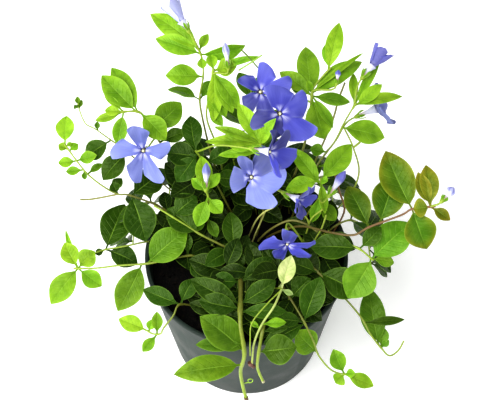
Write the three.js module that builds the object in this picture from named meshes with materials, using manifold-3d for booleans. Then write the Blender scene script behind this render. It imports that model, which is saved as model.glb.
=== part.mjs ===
// Lesser periwinkle (Vinca minor) in a plastic nursery pot.
// Millimetres, +Z up. The origin is the centre of the pot's underside, which stands on the surface.
// Seen from the front, +X is to the right and +Y goes away from the viewer.
import * as THREE from 'three';
import { mergeVertices } from 'three/addons/utils/BufferGeometryUtils.js';
import Module from 'manifold-3d';

const wasm = await Module();
wasm.setup();

// Driving dimensions of the pot and what fills it
const POT = {
  height: 90, rimRadius: 55, baseRadius: 43, wall: 1.2, floor: 1.8,
  lipHeight: 3.2, lipReach: 1.1, edge: 0.8, sides: 36,
};
const DRAIN = {
  holes: 6, radius: 3.5, circle: 28, holeSides: 8,
  notches: 4, notchWidth: 7, notchHeight: 1.3, notchDepth: 5,
};
const SOIL = { top: 80, mound: 2, roughness: 0.8, rings: 3, sides: 18, seed: 11 };
const FIT_GAP = 0.3;

// Stems: how they stand in the soil, and how finely they are drawn
const ROOT = { depth: 12, lean: 3, holeGap: 1.1, holeSides: 4, holeReach: 5 };
const STEM = { sides: 4, step: 14, tipInset: 3 };

// Leaves: arch and fold are shares of the length and of the half width. The sections say where a leaf's
// cross-sections stand along its length, for leaves up to each length.
const LEAF = { thickness: 1.15, arch: 0.06, fold: 0.22, widest: 0.9, fullness: 0.75 };
const LEAF_SECTIONS = [[11, [0.5]], [29, [0.2, 0.48, 0.8]], [Infinity, [0.15, 0.38, 0.64, 0.87]]];
const LIGHT = new THREE.Vector3(0, -0.35, 1);

// Flowers: a stalk and a calyx, which grow from the stem, then a funnel with five petals, or a bud
const STALK = { radius: 0.65, sides: 4, step: 20, rise: 0.12, riseAt: 0.35, bow: 0.4 };
const CALYX = {
  radius: 1.35, length: 2.8, belly: 0.7, sides: 4, stalkEnd: 0.6,
  sepals: 4, sepalLength: 4.2, sepalRadius: 0.6, sepalBelly: 0.8, sepalSides: 3, sepalSeat: 0.45, spread: 38,
};
const FUNNEL = { base: 0.95, neck: 1.25, neckAt: 0.55, mouth: 2.9, dip: 0.82, sides: 6 };
const PETAL = { count: 5, thickness: 1, fold: 0.08, rootRadius: 1.5, seat: 1.2 };
// A petal's cross-sections: place along it, left and right width as shares of its half width, height in
// millimetres, and how far the section slants
const PETAL_SECTIONS = [
  { u: 0.4, left: 0.6, right: 0.56, rise: 0.8, skew: 0 },
  { u: 0.82, left: 1, right: 0.92, rise: 0.4, skew: 0.08 },
  { u: 1, left: 0.66, right: 0.84, rise: -0.5, skew: 0.08 },
];
// A furled bud's profile: shares of its half width and of its length
const BUD_PROFILE = [[0.42, 0], [0.5, 0.3], [1, 0.62], [0.7, 0.84]];

const COLOUR = {
  pot: 0x59625e, soil: 0x14110f,
  mature: 0x3b6f1c, mid: 0x5f9c28, young: 0x93c42f, tinged: 0x8f9c2c,
  violet: 0x5358cf, pale: 0x9aa4ee, bud: 0xc4c8ee,
};
const ROUGHNESS = { pot: 0.45, soil: 1, leaf: 0.4, petal: 0.6 };
const UP = new THREE.Vector3(0, 0, 1);

const deg = THREE.MathUtils.degToRad;
const vec = (list) => new THREE.Vector3(...list);

// Unit vector from a turn about +Z, counted from +X, and a lift above the horizontal, in degrees
function direction(turn, lift) {
  const [t, l] = [deg(turn), deg(lift)];
  return new THREE.Vector3(Math.cos(l) * Math.cos(t), Math.cos(l) * Math.sin(t), Math.sin(l));
}

// Seeded random numbers from 0 to 1
function randomFrom(seed) {
  let state = seed;
  return () => {
    state = (state * 1664525 + 1013904223) % 4294967296;
    return state / 4294967296;
  };
}

function solidOf(geometry) {
  const bare = geometry.clone();
  bare.deleteAttribute('normal');
  bare.deleteAttribute('uv');
  const merged = mergeVertices(bare, 1e-4);
  return new wasm.Manifold(new wasm.Mesh({
    numProp: 3,
    vertProperties: new Float32Array(merged.attributes.position.array),
    triVerts: new Uint32Array(merged.index.array),
  }));
}

function geometryOf(solid) {
  const mesh = solid.getMesh();
  const geometry = new THREE.BufferGeometry();
  geometry.setAttribute('position', new THREE.BufferAttribute(new Float32Array(mesh.vertProperties), 3));
  geometry.setIndex(new THREE.BufferAttribute(new Uint32Array(mesh.triVerts), 1));
  geometry.computeVertexNormals();
  return geometry;
}

// Joins solids and keeps the one body they make, without the slivers that joining can leave
function fuse(solids) {
  const bodies = solids.reduce((sum, next) => sum.add(next)).decompose();
  return bodies.reduce((largest, body) => (body.volume() > largest.volume() ? body : largest));
}

// A closed mesh from points and triangles
function closedMesh(points, triangles) {
  const geometry = new THREE.BufferGeometry();
  geometry.setAttribute('position', new THREE.Float32BufferAttribute(points.flatMap((p) => p.toArray()), 3));
  geometry.setIndex(triangles.flat());
  return solidOf(geometry);
}

const stepsAlong = (curve, step) => Math.max(2, Math.round(curve.getLength() / step));

// Round stem of one thickness along a curve
function tube(curve, radius, sides, step) {
  const outline = new THREE.Shape(
    Array.from({ length: sides }, (_, i) => {
      const angle = (i / sides) * 2 * Math.PI;
      return new THREE.Vector2(radius * Math.cos(angle), radius * Math.sin(angle));
    }),
  );
  const steps = stepsAlong(curve, step);
  return solidOf(new THREE.ExtrudeGeometry(outline, { steps, extrudePath: curve, bevelEnabled: false }));
}

// Solid of revolution about a line from one point towards another
function turned(profile, sides, from, along) {
  const geometry = new THREE.LatheGeometry(profile.map(([r, h]) => new THREE.Vector2(r, h)), sides);
  geometry.applyQuaternion(new THREE.Quaternion().setFromUnitVectors(new THREE.Vector3(0, 1, 0), along));
  geometry.translate(from.x, from.y, from.z);
  return solidOf(geometry);
}

// A thin blade that starts in a point at its root and is lofted through stations. Each station has its
// place along the blade, its half width on the left and right, and its height off the chord. It ends in a
// point, or square where pointed is false. Both faces are split alike.
function blade({ root, axis, side, stations, length, thickness, fold, pointed }) {
  const normal = new THREE.Vector3().crossVectors(axis, side);
  const at = (along, across, up) => root.clone()
    .addScaledVector(axis, along * length).addScaledVector(side, across).addScaledVector(normal, up);
  const points = [root];
  for (const { u, left, right, rise, skew = 0 } of stations) {
    points.push(at(u + skew, -left, rise + fold * left));
    points.push(at(u, 0, rise + thickness / 2));
    points.push(at(u - skew, right, rise + fold * right));
    points.push(at(u, 0, rise - thickness / 2));
  }
  const [LEFT, TOP, RIGHT, UNDER] = [1, 2, 3, 4];
  const triangles = [[LEFT, TOP, 0], [TOP, RIGHT, 0], [UNDER, LEFT, 0], [RIGHT, UNDER, 0]];
  for (let s = 0; s + 1 < stations.length; s += 1) {
    const [a, b] = [s * 4, s * 4 + 4];
    triangles.push([a + LEFT, b + TOP, a + TOP], [a + LEFT, b + LEFT, b + TOP]);
    triangles.push([a + RIGHT, a + TOP, b + TOP], [a + RIGHT, b + TOP, b + RIGHT]);
    triangles.push([a + LEFT, a + UNDER, b + UNDER], [a + LEFT, b + UNDER, b + LEFT]);
    triangles.push([a + RIGHT, b + UNDER, a + UNDER], [a + RIGHT, b + RIGHT, b + UNDER]);
  }
  const last = (stations.length - 1) * 4;
  if (pointed) {
    points.push(at(1, 0, 0));
    const tip = points.length - 1;
    triangles.push([last + LEFT, tip, last + TOP], [last + RIGHT, last + TOP, tip]);
    triangles.push([last + LEFT, last + UNDER, tip], [last + RIGHT, tip, last + UNDER]);
  } else {
    triangles.push([last + LEFT, last + UNDER, last + TOP], [last + TOP, last + UNDER, last + RIGHT]);
  }
  return closedMesh(points, triangles);
}

// Half width of a leaf, 0 to 1, along its length
const leafOutline = (u) => Math.sin(Math.PI * u ** LEAF.widest) ** LEAF.fullness;

// One leaf from the middle of its stem, folded a little along the midrib and arched along its length
function leaf(root, [, turn, lift, length, width, roll = 0], light) {
  const axis = direction(turn, lift);
  const side = new THREE.Vector3().crossVectors(light, axis).normalize().applyAxisAngle(axis, deg(roll));
  const [, places] = LEAF_SECTIONS.find(([upTo]) => length <= upTo);
  const stations = places.map((u) => {
    const half = (width / 2) * leafOutline(u);
    return { u, left: half, right: half, rise: LEAF.arch * length * 4 * u * (1 - u) };
  });
  const { thickness, fold } = LEAF;
  return blade({ root, axis, side, stations, length, thickness, fold, pointed: true });
}

// Where a stem ends in the soil: below its first point, leaning back a little
function rootOf([first, second]) {
  const lean = vec(second).sub(vec(first)).setZ(0).clampLength(0, ROOT.lean);
  return vec(first).sub(lean).setZ(SOIL.top - ROOT.depth);
}

// A stem's smooth line: out of the soil, then through its points
function stemCurve(points) {
  return new THREE.CatmullRomCurve3([rootOf(points), ...points.map(vec)], false, 'catmullrom', 0.5);
}

// The point at so many percent of a stem's points above the soil, kept just inside its end and moved
// into the middle of the tube, whose straight steps cut the curve's corners
function pointAt(curve, percent) {
  const spans = curve.points.length - 1;
  const share = Math.min(percent, 100 - STEM.tipInset) / 100;
  const wanted = curve.getPoint((1 + share * (spans - 1)) / spans);
  const corners = curve.getSpacedPoints(stepsAlong(curve, STEM.step));
  const candidates = corners.slice(1).map((end, i) => (
    new THREE.Line3(corners[i], end).closestPointToPoint(wanted, true, new THREE.Vector3())
  ));
  return candidates.reduce((best, next) => (next.distanceTo(wanted) < best.distanceTo(wanted) ? next : best));
}

// Where a flower's tube leaves its calyx
function flowerFoot(flower) {
  return vec(flower.throat).addScaledVector(direction(...flower.facing), -flower.tube);
}

// Flower stalk with its calyx, from a stem to just behind a flower's tube
function stalk(curve, percent, flower) {
  const facing = direction(...flower.facing);
  const foot = flowerFoot(flower).addScaledVector(facing, -FIT_GAP);
  const behind = (distance) => foot.clone().addScaledVector(facing, -distance);
  const start = pointAt(curve, percent);
  const end = behind(CALYX.length * CALYX.stalkEnd);
  const reach = start.distanceTo(end);
  const rise = start.clone().lerp(end, STALK.riseAt).addScaledVector(UP, reach * (flower.rise ?? STALK.rise));
  const bow = end.clone().addScaledVector(facing, -reach * STALK.bow);
  const line = new THREE.CubicBezierCurve3(start, rise, bow, end);
  const cup = [[0, 0], [CALYX.radius, CALYX.length * CALYX.belly], [0, CALYX.length]];
  const solids = [
    tube(line, STALK.radius, STALK.sides, STALK.step),
    turned(cup, CALYX.sides, behind(CALYX.length), facing),
  ];
  const across = UP.clone().cross(facing).normalize();
  const sepal = [[0, 0], [CALYX.sepalRadius, CALYX.sepalBelly], [0, CALYX.sepalLength]];
  for (let i = 0; i < CALYX.sepals; i += 1) {
    const outward = across.clone().applyAxisAngle(facing, (i / CALYX.sepals) * 2 * Math.PI);
    const along = facing.clone().multiplyScalar(Math.cos(deg(CALYX.spread)))
      .addScaledVector(outward, Math.sin(deg(CALYX.spread)));
    const seat = behind(CALYX.length * CALYX.sepalSeat);
    seat.addScaledVector(outward, CALYX.radius * CALYX.sepalSeat);
    solids.push(turned(sepal, CALYX.sepalSides, seat, along));
  }
  return solids;
}

// Open flower: a funnel and five petals cut off aslant, like a propeller
function openFlower(flower) {
  const facing = direction(...flower.facing);
  const foot = flowerFoot(flower);
  const profile = [
    [0, 0], [FUNNEL.base, 0], [FUNNEL.neck, flower.tube * FUNNEL.neckAt], [FUNNEL.mouth, flower.tube],
    [0, flower.tube * FUNNEL.dip],
  ];
  const solids = [turned(profile, FUNNEL.sides, foot, facing)];
  const across = UP.clone().cross(facing).normalize();
  const lobes = flower.lobes ?? Array.from({ length: PETAL.count }, (_, i) => (
    [flower.spin + (i * 360) / PETAL.count, flower.petal, flower.width, flower.cup]
  ));
  for (const [turn, length, width, lift] of lobes) {
    const cup = deg(lift);
    const outward = across.clone().applyAxisAngle(facing, deg(turn));
    const axis = outward.clone().multiplyScalar(Math.cos(cup)).addScaledVector(facing, Math.sin(cup));
    const side = new THREE.Vector3().crossVectors(axis, facing).normalize();
    const root = foot.clone().addScaledVector(facing, flower.tube - PETAL.seat)
      .addScaledVector(outward, PETAL.rootRadius);
    const stations = PETAL_SECTIONS.map(({ u, left, right, rise, skew }) => (
      { u, left: left * (width / 2), right: right * (width / 2), rise, skew }
    ));
    const { thickness, fold } = PETAL;
    solids.push(blade({ root, axis, side, stations, length, thickness, fold, pointed: false }));
  }
  return fuse(solids);
}

// Closed bud: a slim tube that swells into furled petals and ends in a point
function closedBud(flower) {
  const half = flower.width / 2;
  const length = flower.tube + flower.petal;
  const profile = [[0, 0], ...BUD_PROFILE.map(([r, h]) => [r * half, h * length]), [0, length]];
  return turned(profile, FUNNEL.sides, flowerFoot(flower), direction(...flower.facing));
}

// Flowers and buds: where the throat is, the turn and lift it faces, and the length of its tube. Each
// petal has its turn about the throat, its length, its width and how far it cups forward, or all five are
// alike and evenly spun. A flower whose stalk must clear another flower rises more.
const FLOWERS = {
  flower_left: {
    throat: [-54, 32, 141], facing: [262, 52], tube: 9, colour: 'pale',
    lobes: [[7, 12.5, 9.5, 4], [109, 12, 11.5, 14], [182, 15, 11, 10],
      [254, 15, 10, 4], [300, 17, 9.5, 4]],
  },
  flower_top: {
    throat: [7, 54, 163], facing: [255, 58], tube: 10, colour: 'violet',
    lobes: [[20, 15, 12, 8], [83, 13, 11, 10], [151, 11, 8, 22],
      [238, 10.5, 10, 2], [298, 14, 10, 0]],
  },
  flower_upper_right: {
    throat: [17, 27, 181], facing: [288, 54], tube: 10, colour: 'violet',
    lobes: [[9, 13.5, 13, 8], [80, 12.5, 15, 12], [180, 13.5, 9.5, -10],
      [252, 9, 9.5, 0], [304, 17.5, 14.5, 4]],
  },
  flower_side: {
    throat: [13, 6, 178], facing: [338, 16], tube: 10, rise: 0.06, colour: 'violet',
    lobes: [[4, 12, 9.5, 34], [47, 10, 9.5, 16], [232, 12, 7.5, 28],
      [256, 11, 8, 12], [294, 14.5, 12.5, 30]],
  },
  flower_centre: {
    throat: [2, 5, 157], facing: [240, 46], tube: 9, colour: 'pale',
    lobes: [[16, 15.5, 14, -6], [73, 14.5, 13, 2], [128, 10.5, 8, 22],
      [212, 9.5, 13.5, 14], [314, 16, 15.5, -8]],
  },
  flower_front: {
    throat: [21, -17, 126], facing: [272, 6], tube: 9, colour: 'violet',
    lobes: [[3, 12.5, 6.5, 8], [84, 12, 9, 10], [161, 12.5, 11.5, 10],
      [237, 10, 8, 10], [318, 12.5, 8, 12]],
  },
  flower_low_side: {
    throat: [28, 2, 140], facing: [330, 4], tube: 9, colour: 'violet',
    lobes: [[8, 9, 8, 30], [80, 12, 7.5, 32], [150, 7, 7, 20],
      [248, 10.5, 8, 24], [312, 10, 8, 30]],
  },
  flower_right_side: {
    throat: [70, 59, 142], facing: [12, 22], tube: 11, petal: 12, width: 10,
    cup: 30, spin: 15, colour: 'pale',
  },
  bud_high: {
    throat: [-34, 88, 180], facing: [127, 26], tube: 6, petal: 13, width: 7,
    cup: 72, spin: 10, colour: 'bud',
  },
  bud_right_open: {
    throat: [66, 70, 166], facing: [48, 24], tube: 8, petal: 11, width: 7.5,
    cup: 68, spin: 25, colour: 'violet',
  },
  bud_blue: {
    throat: [-21, 20, 132], facing: [88, 40], tube: 4, petal: 9, width: 4.4,
    closed: true, colour: 'pale',
  },
  bud_white: {
    throat: [-10, 69, 172], facing: [100, 44], tube: 4, petal: 8, width: 3.6,
    closed: true, colour: 'bud',
  },
  bud_purple: {
    throat: [46, 12, 139], facing: [48, 36], tube: 5, petal: 9, width: 4.6,
    closed: true, colour: 'violet',
  },
  bud_tiny: {
    throat: [47, 60, 167], facing: [80, 40], tube: 1.5, petal: 4, width: 3,
    closed: true, colour: 'violet',
  },
  bud_far_right: {
    throat: [101, 1, 146], facing: [45, 20], tube: 2, petal: 6, width: 5,
    closed: true, colour: 'bud',
  },
};

// Leafy stems in front and at the sides. Each has the points of its stem from the soil to its tip,
// its radius, and its leaves: percent along the stem, turn, lift, length, width and roll.
const SHOOTS = {
  bud_shoot: {
    radius: 1.1, colour: 'young',
    stem: [
      [-10, 30, 82], [-18, 46, 108], [-23, 58, 128], [-25, 66, 140], [-23, 71, 152], [-23, 76, 160],
      [-25, 79, 167],
    ],
    leaves: [
      [93, 165, 12, 25, 11], [97, 142, 10, 34, 12], [92, 10, 5, 24, 10, 60], [97, 55, 35, 10, 5],
      [68, 185, 10, 20, 12], [50, 165, 10, 18, 9, 40], [50, 60, 10, 13, 7],
    ],
    flowers: [[98, 'bud_high']],
  },
  hanging_group: {
    radius: 1, colour: 'young',
    stem: [[-14, 36, 82], [-14, 46, 112], [-21, 56, 135], [-20, 62, 146], [-19, 65, 154], [-17, 69, 163]],
    leaves: [
      [97, 270, -55, 28, 8], [100, 305, -45, 25, 9], [95, 315, -35, 24, 9],
      [82, 305, -45, 20, 8],
      [100, 0, 20, 13, 10], [98, 10, 15, 26, 4], [53, 315, -35, 14, 6],
    ],
    flowers: [[94, 'bud_white']],
  },
  left_high_cluster: {
    radius: 1.2, colour: 'mid',
    stem: [[-19, 29, 82], [-31, 38, 104], [-44, 44, 126], [-51, 49, 138], [-56, 53, 146], [-66, 52, 148]],
    leaves: [
      [83, 120, 10, 30, 11], [85, 135, 15, 27, 13], [100, 140, 15, 14, 4], [100, 175, 0, 10, 6],
      [98, 255, -40, 18, 8],
      [80, 320, -25, 20, 12], [57, 45, 10, 22, 14], [100, 190, -15, 16, 5], [45, 20, 10, 15, 8],
    ],
    flowers: [[50, 'flower_left']],
  },
  left_thin_shoot: {
    radius: 0.8, colour: 'mid',
    stem: [
      [-23, 22, 82], [-36, 28, 100], [-52, 35, 116], [-64, 43, 124], [-74, 49, 128], [-81, 53, 131],
      [-86, 55, 133], [-89, 60, 137], [-90, 63, 141],
    ],
    leaves: [
      [48, 200, -30, 18, 11], [100, 90, 65, 5, 3], [37, 225, -20, 20, 12],
    ],
  },
  left_shoot: {
    radius: 1, colour: 'mid',
    stem: [
      [-28, 16, 82], [-44, 20, 102], [-62, 24, 110], [-69, 25, 110], [-77, 28, 113], [-85, 33, 117],
      [-90, 38, 120], [-95, 44, 123], [-98, 47, 126],
    ],
    leaves: [
      [100, 90, 15, 17, 10], [90, 155, 10, 6, 5], [88, 40, 10, 6, 5], [78, 185, -5, 10, 6],
      [78, 5, 20, 12, 7],
      [68, 180, -10, 10, 5], [63, 35, 10, 10, 4], [25, 45, -3, 23, 15], [25, 290, -25, 26, 18],
      [43, 50, 20, 9, 6],
    ],
  },
  left_round_leaves: {
    radius: 1, colour: 'mature',
    stem: [[-13, 10, 82], [-33, 7, 93], [-52, 5, 94], [-65, 2, 94], [-76, 1, 92], [-81, -2, 94]],
    leaves: [[80, 72, 5, 29, 17], [80, 340, -15, 19, 12]],
  },
  left_trailing: {
    radius: 1.2, colour: 'mid',
    stem: [
      [-12, -4, 82], [-17, -4, 92], [-30, -5, 96], [-41, -8, 97], [-53, -10, 96], [-68, -10, 94],
      [-81, -10, 91], [-93, -9, 89],
    ],
    leaves: [
      [57, 36, 20, 28, 18], [60, 240, -26, 28, 15], [30, 94, 35, 13, 6], [28, 305, -15, 15, 12],
      [100, 230, -20, 24, 13],
      [100, 120, 20, 16, 10], [98, 40, 25, 13, 11], [98, 330, -25, 16, 10], [100, 110, 15, 23, 3],
    ],
  },
  thick_cut_stem: {
    radius: 1.6, colour: 'mature',
    stem: [
      [0, 4, 82], [-7, -3, 98], [-17, -1, 104], [-25, 2, 107], [-35, 7, 111], [-43, 11, 114],
      [-49, 14, 116],
    ],
    leaves: [
      [17, 95, 25, 21, 11], [50, 145, 15, 22, 14], [18, 218, 8, 18, 10], [17, 305, -15, 10, 6],
      [75, 38, 15, 17, 13],
    ],
  },
  small_bud_shoot: {
    radius: 0.9, colour: 'young',
    stem: [[-7, 13, 82], [-17, 10, 96], [-21, 12, 106], [-20, 15, 120], [-21, 17, 126]],
    leaves: [
      [93, 100, 25, 20, 9], [95, 140, 15, 11, 6], [100, 50, 25, 12, 6], [82, 245, -35, 17, 9],
      [80, 315, -20, 11, 8],
      [52, 300, -25, 12, 6], [48, 215, -10, 10, 5],
    ],
    flowers: [[97, 'bud_blue']],
  },
  dark_left_centre: {
    radius: 1.1, colour: 'mature',
    stem: [[-5, 22, 82], [-13, 28, 104], [-22, 36, 122], [-27, 39, 131]],
    leaves: [
      [100, 100, 15, 21, 11], [93, 230, -25, 19, 12], [52, 0, -10, 14, 10], [48, 205, -25, 9, 8],
      [68, 25, 15, 16, 10], [83, 175, 5, 18, 14], [33, 70, 15, 21, 10], [67, 130, 5, 19, 11],
    ],
    flowers: [[100, 'flower_side']],
  },
  lower_left: {
    radius: 1, colour: 'young',
    stem: [
      [-18, -27, 82], [-27, -32, 90], [-35, -35, 97], [-38, -41, 96], [-43, -46, 92], [-45, -47, 87],
      [-49.5, -45, 83], [-52.5, -43, 83],
    ],
    leaves: [
      [28, 158, 5, 21, 10], [27, 60, 25, 15, 9], [100, 160, 10, 17, 9], [95, 65, 40, 7, 5],
      [78, 90, 35, 12, 6], [78, 225, -25, 12, 6],
    ],
  },
  front_stem: {
    radius: 1.7, colour: 'mid',
    stem: [
      [-4, -9, 82], [-3, -23, 100], [-3, -37, 104], [-3, -50, 103], [-1, -60, 90], [-3, -62, 74],
      [-2, -65, 62], [0, -69, 52],
    ],
    leaves: [
      [56, 150, 30, 30, 17], [66, 190, 3, 36, 14], [30, 155, 10, 29, 12], [33, 170, 5, 22, 12],
      [15, 180, 5, 16, 10], [15, 36, 15, 21, 10], [30, 30, 15, 22, 11], [35, 358, 5, 24, 8],
      [52, 178, -5, 25, 8],
    ],
  },
  second_cut_stem: {
    radius: 1.6, colour: 'mid',
    stem: [[8, -23, 82], [10, -40, 97], [8, -53, 99], [6, -61, 87], [6, -62, 76], [9, -65, 66]],
    leaves: [[38, 4, 15, 14, 5], [54, 2, 12, 20, 16]],
  },
  pale_arch: {
    radius: 0.8, colour: 'young',
    stem: [
      [12, -16, 82], [15, -28, 102], [18, -34, 112], [11, -42, 112], [3, -51, 108], [2, -57, 100],
      [2, -61, 90],
    ],
    leaves: [[32, 70, 35, 18, 9], [23, 45, 25, 12, 3]],
  },
  front_right: {
    radius: 1.1, colour: 'mid',
    stem: [
      [17, -9, 82], [20, -27, 99], [25, -37, 100], [30, -46, 98], [35, -52, 88], [38, -54, 76],
      [44, -57, 66], [49, -57, 60], [54, -57, 58],
    ],
    leaves: [
      [37, 66, 30, 25, 13], [38, 205, -10, 24, 10], [37, 185, 22, 18, 8], [60, 156, 50, 20, 14],
      [100, 120, 35, 15, 9],
      [100, 220, -25, 7, 8], [100, 340, -10, 17, 8], [20, 40, 25, 15, 12],
    ],
  },
  right_trailing: {
    radius: 1.1, colour: 'mid',
    stem: [
      [25, 4, 82], [29, -8, 98], [36, -18, 104], [46, -27, 100], [54, -30, 90], [62, -34, 78],
      [67, -38, 68], [73, -42, 60], [78, -44, 54], [83, -41, 54], [86, -37, 58],
    ],
    leaves: [
      [22, 335, -10, 25, 17], [68, 100, 25, 32, 14], [52, 5, 0, 22, 5], [70, 80, 30, 11, 7],
      [22, 165, 15, 18, 10], [18, 210, -15, 16, 10],
    ],
  },
  right_middle: {
    radius: 1.2, colour: 'mid',
    stem: [[18, 9, 82], [34, -2, 104], [49, -8, 114], [58, -12, 116], [66, -17, 112]],
    leaves: [
      [100, 235, -25, 24, 18], [100, 40, 15, 28, 18], [100, 0, -20, 13, 7], [75, 175, -5, 25, 14],
      [77, 40, 25, 16, 9],
    ],
    flowers: [[20, 'flower_front']],
  },
  right_shoot: {
    radius: 1.2, colour: 'tinged',
    stem: [
      [12, 15, 82], [28, 6, 108], [43, -6, 122], [55, -10, 126], [63, -7, 129], [79, -3, 134],
      [85, -1, 137], [96, -2, 141],
    ],
    leaves: [
      [62, 70, 20, 26, 17], [85, 115, 20, 33, 18], [85, 295, -35, 22, 17], [98, 95, 20, 22, 10],
      [98, 110, 20, 19, 8],
      [100, 180, -15, 9, 10], [100, 325, -10, 12, 6], [57, 115, 10, 25, 13],
    ],
    flowers: [[100, 'bud_far_right']],
  },
  upper_right_fan: {
    radius: 1.3, colour: 'mid',
    stem: [[18, 31, 82], [27, 39, 112], [32, 47, 134], [34, 55, 156], [35, 59, 160], [44, 68, 165]],
    leaves: [
      [62, 95, 5, 31, 12], [66, 35, 5, 33, 10], [100, 88, 20, 16, 8], [100, 76, 20, 27, 9],
      [66, 40, -5, 30, 8],
      [62, 140, 5, 22, 9], [62, 140, -10, 14, 7], [62, 0, -15, 21, 7], [60, 295, -45, 23, 15],
      [62, 310, -30, 20, 5],
    ],
    flowers: [[57, 'flower_top'], [46, 'flower_upper_right'], [72, 'bud_tiny']],
  },
  right_narrow_fan: {
    radius: 1.1, colour: 'young',
    stem: [[24, 24, 82], [34, 34, 112], [42, 39, 128], [47, 42, 136], [52, 48, 146], [57, 52, 156]],
    leaves: [
      [98, 90, 10, 19, 5], [100, 62, 8, 31, 5], [96, 36, 15, 19, 7], [98, 13, 0, 26, 6],
      [73, 355, -15, 24, 13], [42, 165, 0, 9, 7], [28, 15, -10, 19, 6],
    ],
    flowers: [[96, 'bud_right_open'], [60, 'flower_right_side']],
  },
  right_inner_bright: {
    radius: 1, colour: 'mid',
    stem: [[27, 16, 82], [34, 17, 106], [39, 19, 118], [39, 22, 130]],
    leaves: [
      [100, 50, 10, 26, 12], [95, 190, -10, 19, 9], [98, 280, -40, 18, 5], [85, 130, 20, 26, 9],
      [67, 250, -35, 15, 6],
      [57, 320, -30, 15, 8],
    ],
    flowers: [[60, 'bud_purple'], [40, 'flower_low_side']],
  },
  centre_yellow: {
    radius: 1, colour: 'young',
    stem: [[6, 17, 82], [10, 19, 112], [11, 21, 136], [8, 24, 154], [7, 25, 158]],
    leaves: [
      [97, 325, 74, 29, 6.5], [100, 180, 5, 28, 6], [100, 120, 20, 24, 9], [98, 180, -5, 16, 8],
      [75, 70, 25, 18, 8], [78, 105, 25, 9, 6], [73, 180, -10, 23, 5], [100, 165, 15, 25, 5],
      [90, 115, 10, 16, 6],
    ],
    flowers: [[50, 'flower_centre']],
  },
};

// Leafy stems at the back, by rule: each leaves the soil towards its own side and arches up or trails
// over the rim, with a pair of leaves at every joint, smaller towards the tip. A stem's profile is a list
// of distances from the pot's middle and heights, and its joints are in percent. Neighbours are staggered.
const BACK = {
  seed: 7, radius: 1.1, stagger: 11,
  trailing: [[40, 82], [48, 97], [58, 101], [67, 88], [71, 66], [74, 44]],
  arching: [[36, 82], [46, 108], [58, 128], [74, 138]],
  joints: { trailing: [40, 62, 82, 100], arching: [46, 74, 100] },
  length: 23, width: 13, taper: 0.12, sizeJitter: 0.08,
  pairAngle: 56, tipPairAngle: 28, turnJitter: 8, lift: 12, droop: 14, liftJitter: 6, lightLean: 0.5,
};
const BACK_STEMS = [
  ['trailing', 14], ['trailing', 46], ['trailing', 73], ['arching', 88],
  ['trailing', 105], ['trailing', 129], ['trailing', 154],
];

function backShoot([kind, azimuth], index, random) {
  const toward = direction(azimuth, 0);
  const stem = BACK[kind].map(([r, z]) => toward.clone().multiplyScalar(r).setZ(z).toArray());
  const spread = (amount) => (random() * 2 - 1) * amount;
  const joints = BACK.joints[kind];
  const leaves = joints.flatMap((percent, joint) => [1, -1].map((sign) => {
    const size = 1 - BACK.taper * joint + spread(BACK.sizeJitter);
    const angle = joint === joints.length - 1 ? BACK.tipPairAngle : BACK.pairAngle;
    const lift = kind === 'trailing' ? -joint * BACK.droop : BACK.lift;
    return [
      percent - (index % 2) * BACK.stagger, azimuth + sign * angle + spread(BACK.turnJitter),
      lift + spread(BACK.liftJitter), BACK.length * size, BACK.width * size,
    ];
  }));
  const light = toward.clone().multiplyScalar(BACK.lightLean).setZ(1);
  return { radius: BACK.radius, colour: kind === 'trailing' ? 'mature' : 'mid', stem, leaves, light };
}

function shoot({ stem, radius, leaves, light = LIGHT, flowers = [] }) {
  const curve = stemCurve(stem);
  const solids = [tube(curve, radius, STEM.sides, STEM.step)];
  for (const spec of leaves) solids.push(leaf(pointAt(curve, spec[0]), spec, light));
  for (const [percent, name] of flowers) solids.push(...stalk(curve, percent, FLOWERS[name]));
  return fuse(solids);
}

// The pot's outside radius under its lip, and its inside radius at the top
const wallTop = POT.rimRadius - POT.lipReach;
const insideTop = wallTop - POT.wall;

// The pot: a thin moulded shell with a small lip, drain holes in its floor and notches at its foot
function potSolid() {
  const { edge, height, lipHeight } = POT;
  const profile = [
    [0, 0], [POT.baseRadius - edge, 0], [POT.baseRadius, edge],
    [wallTop, height - lipHeight], [POT.rimRadius - edge / 2, height - lipHeight + edge / 2],
    [POT.rimRadius, height - edge], [POT.rimRadius - edge, height], [insideTop + edge, height],
    [insideTop, height - edge], [POT.baseRadius - POT.wall, POT.floor], [0, POT.floor],
  ];
  let pot = turned(profile, POT.sides, new THREE.Vector3(), UP);
  const drill = [[0, 0], [DRAIN.radius, 0], [DRAIN.radius, POT.floor * 2], [0, POT.floor * 2]];
  for (let i = 0; i < DRAIN.holes; i += 1) {
    const place = direction((i * 360) / DRAIN.holes, 0).multiplyScalar(DRAIN.circle).setZ(-POT.floor / 2);
    pot = pot.subtract(turned(drill, DRAIN.holeSides, place, UP));
  }
  for (let i = 0; i < DRAIN.notches; i += 1) {
    const notch = new THREE.BoxGeometry(DRAIN.notchDepth, DRAIN.notchWidth, DRAIN.notchHeight * 2);
    notch.translate(POT.baseRadius, 0, 0);
    notch.rotateZ(deg(((i + 0.5) * 360) / DRAIN.notches));
    pot = pot.subtract(solidOf(notch));
  }
  return pot;
}

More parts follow.
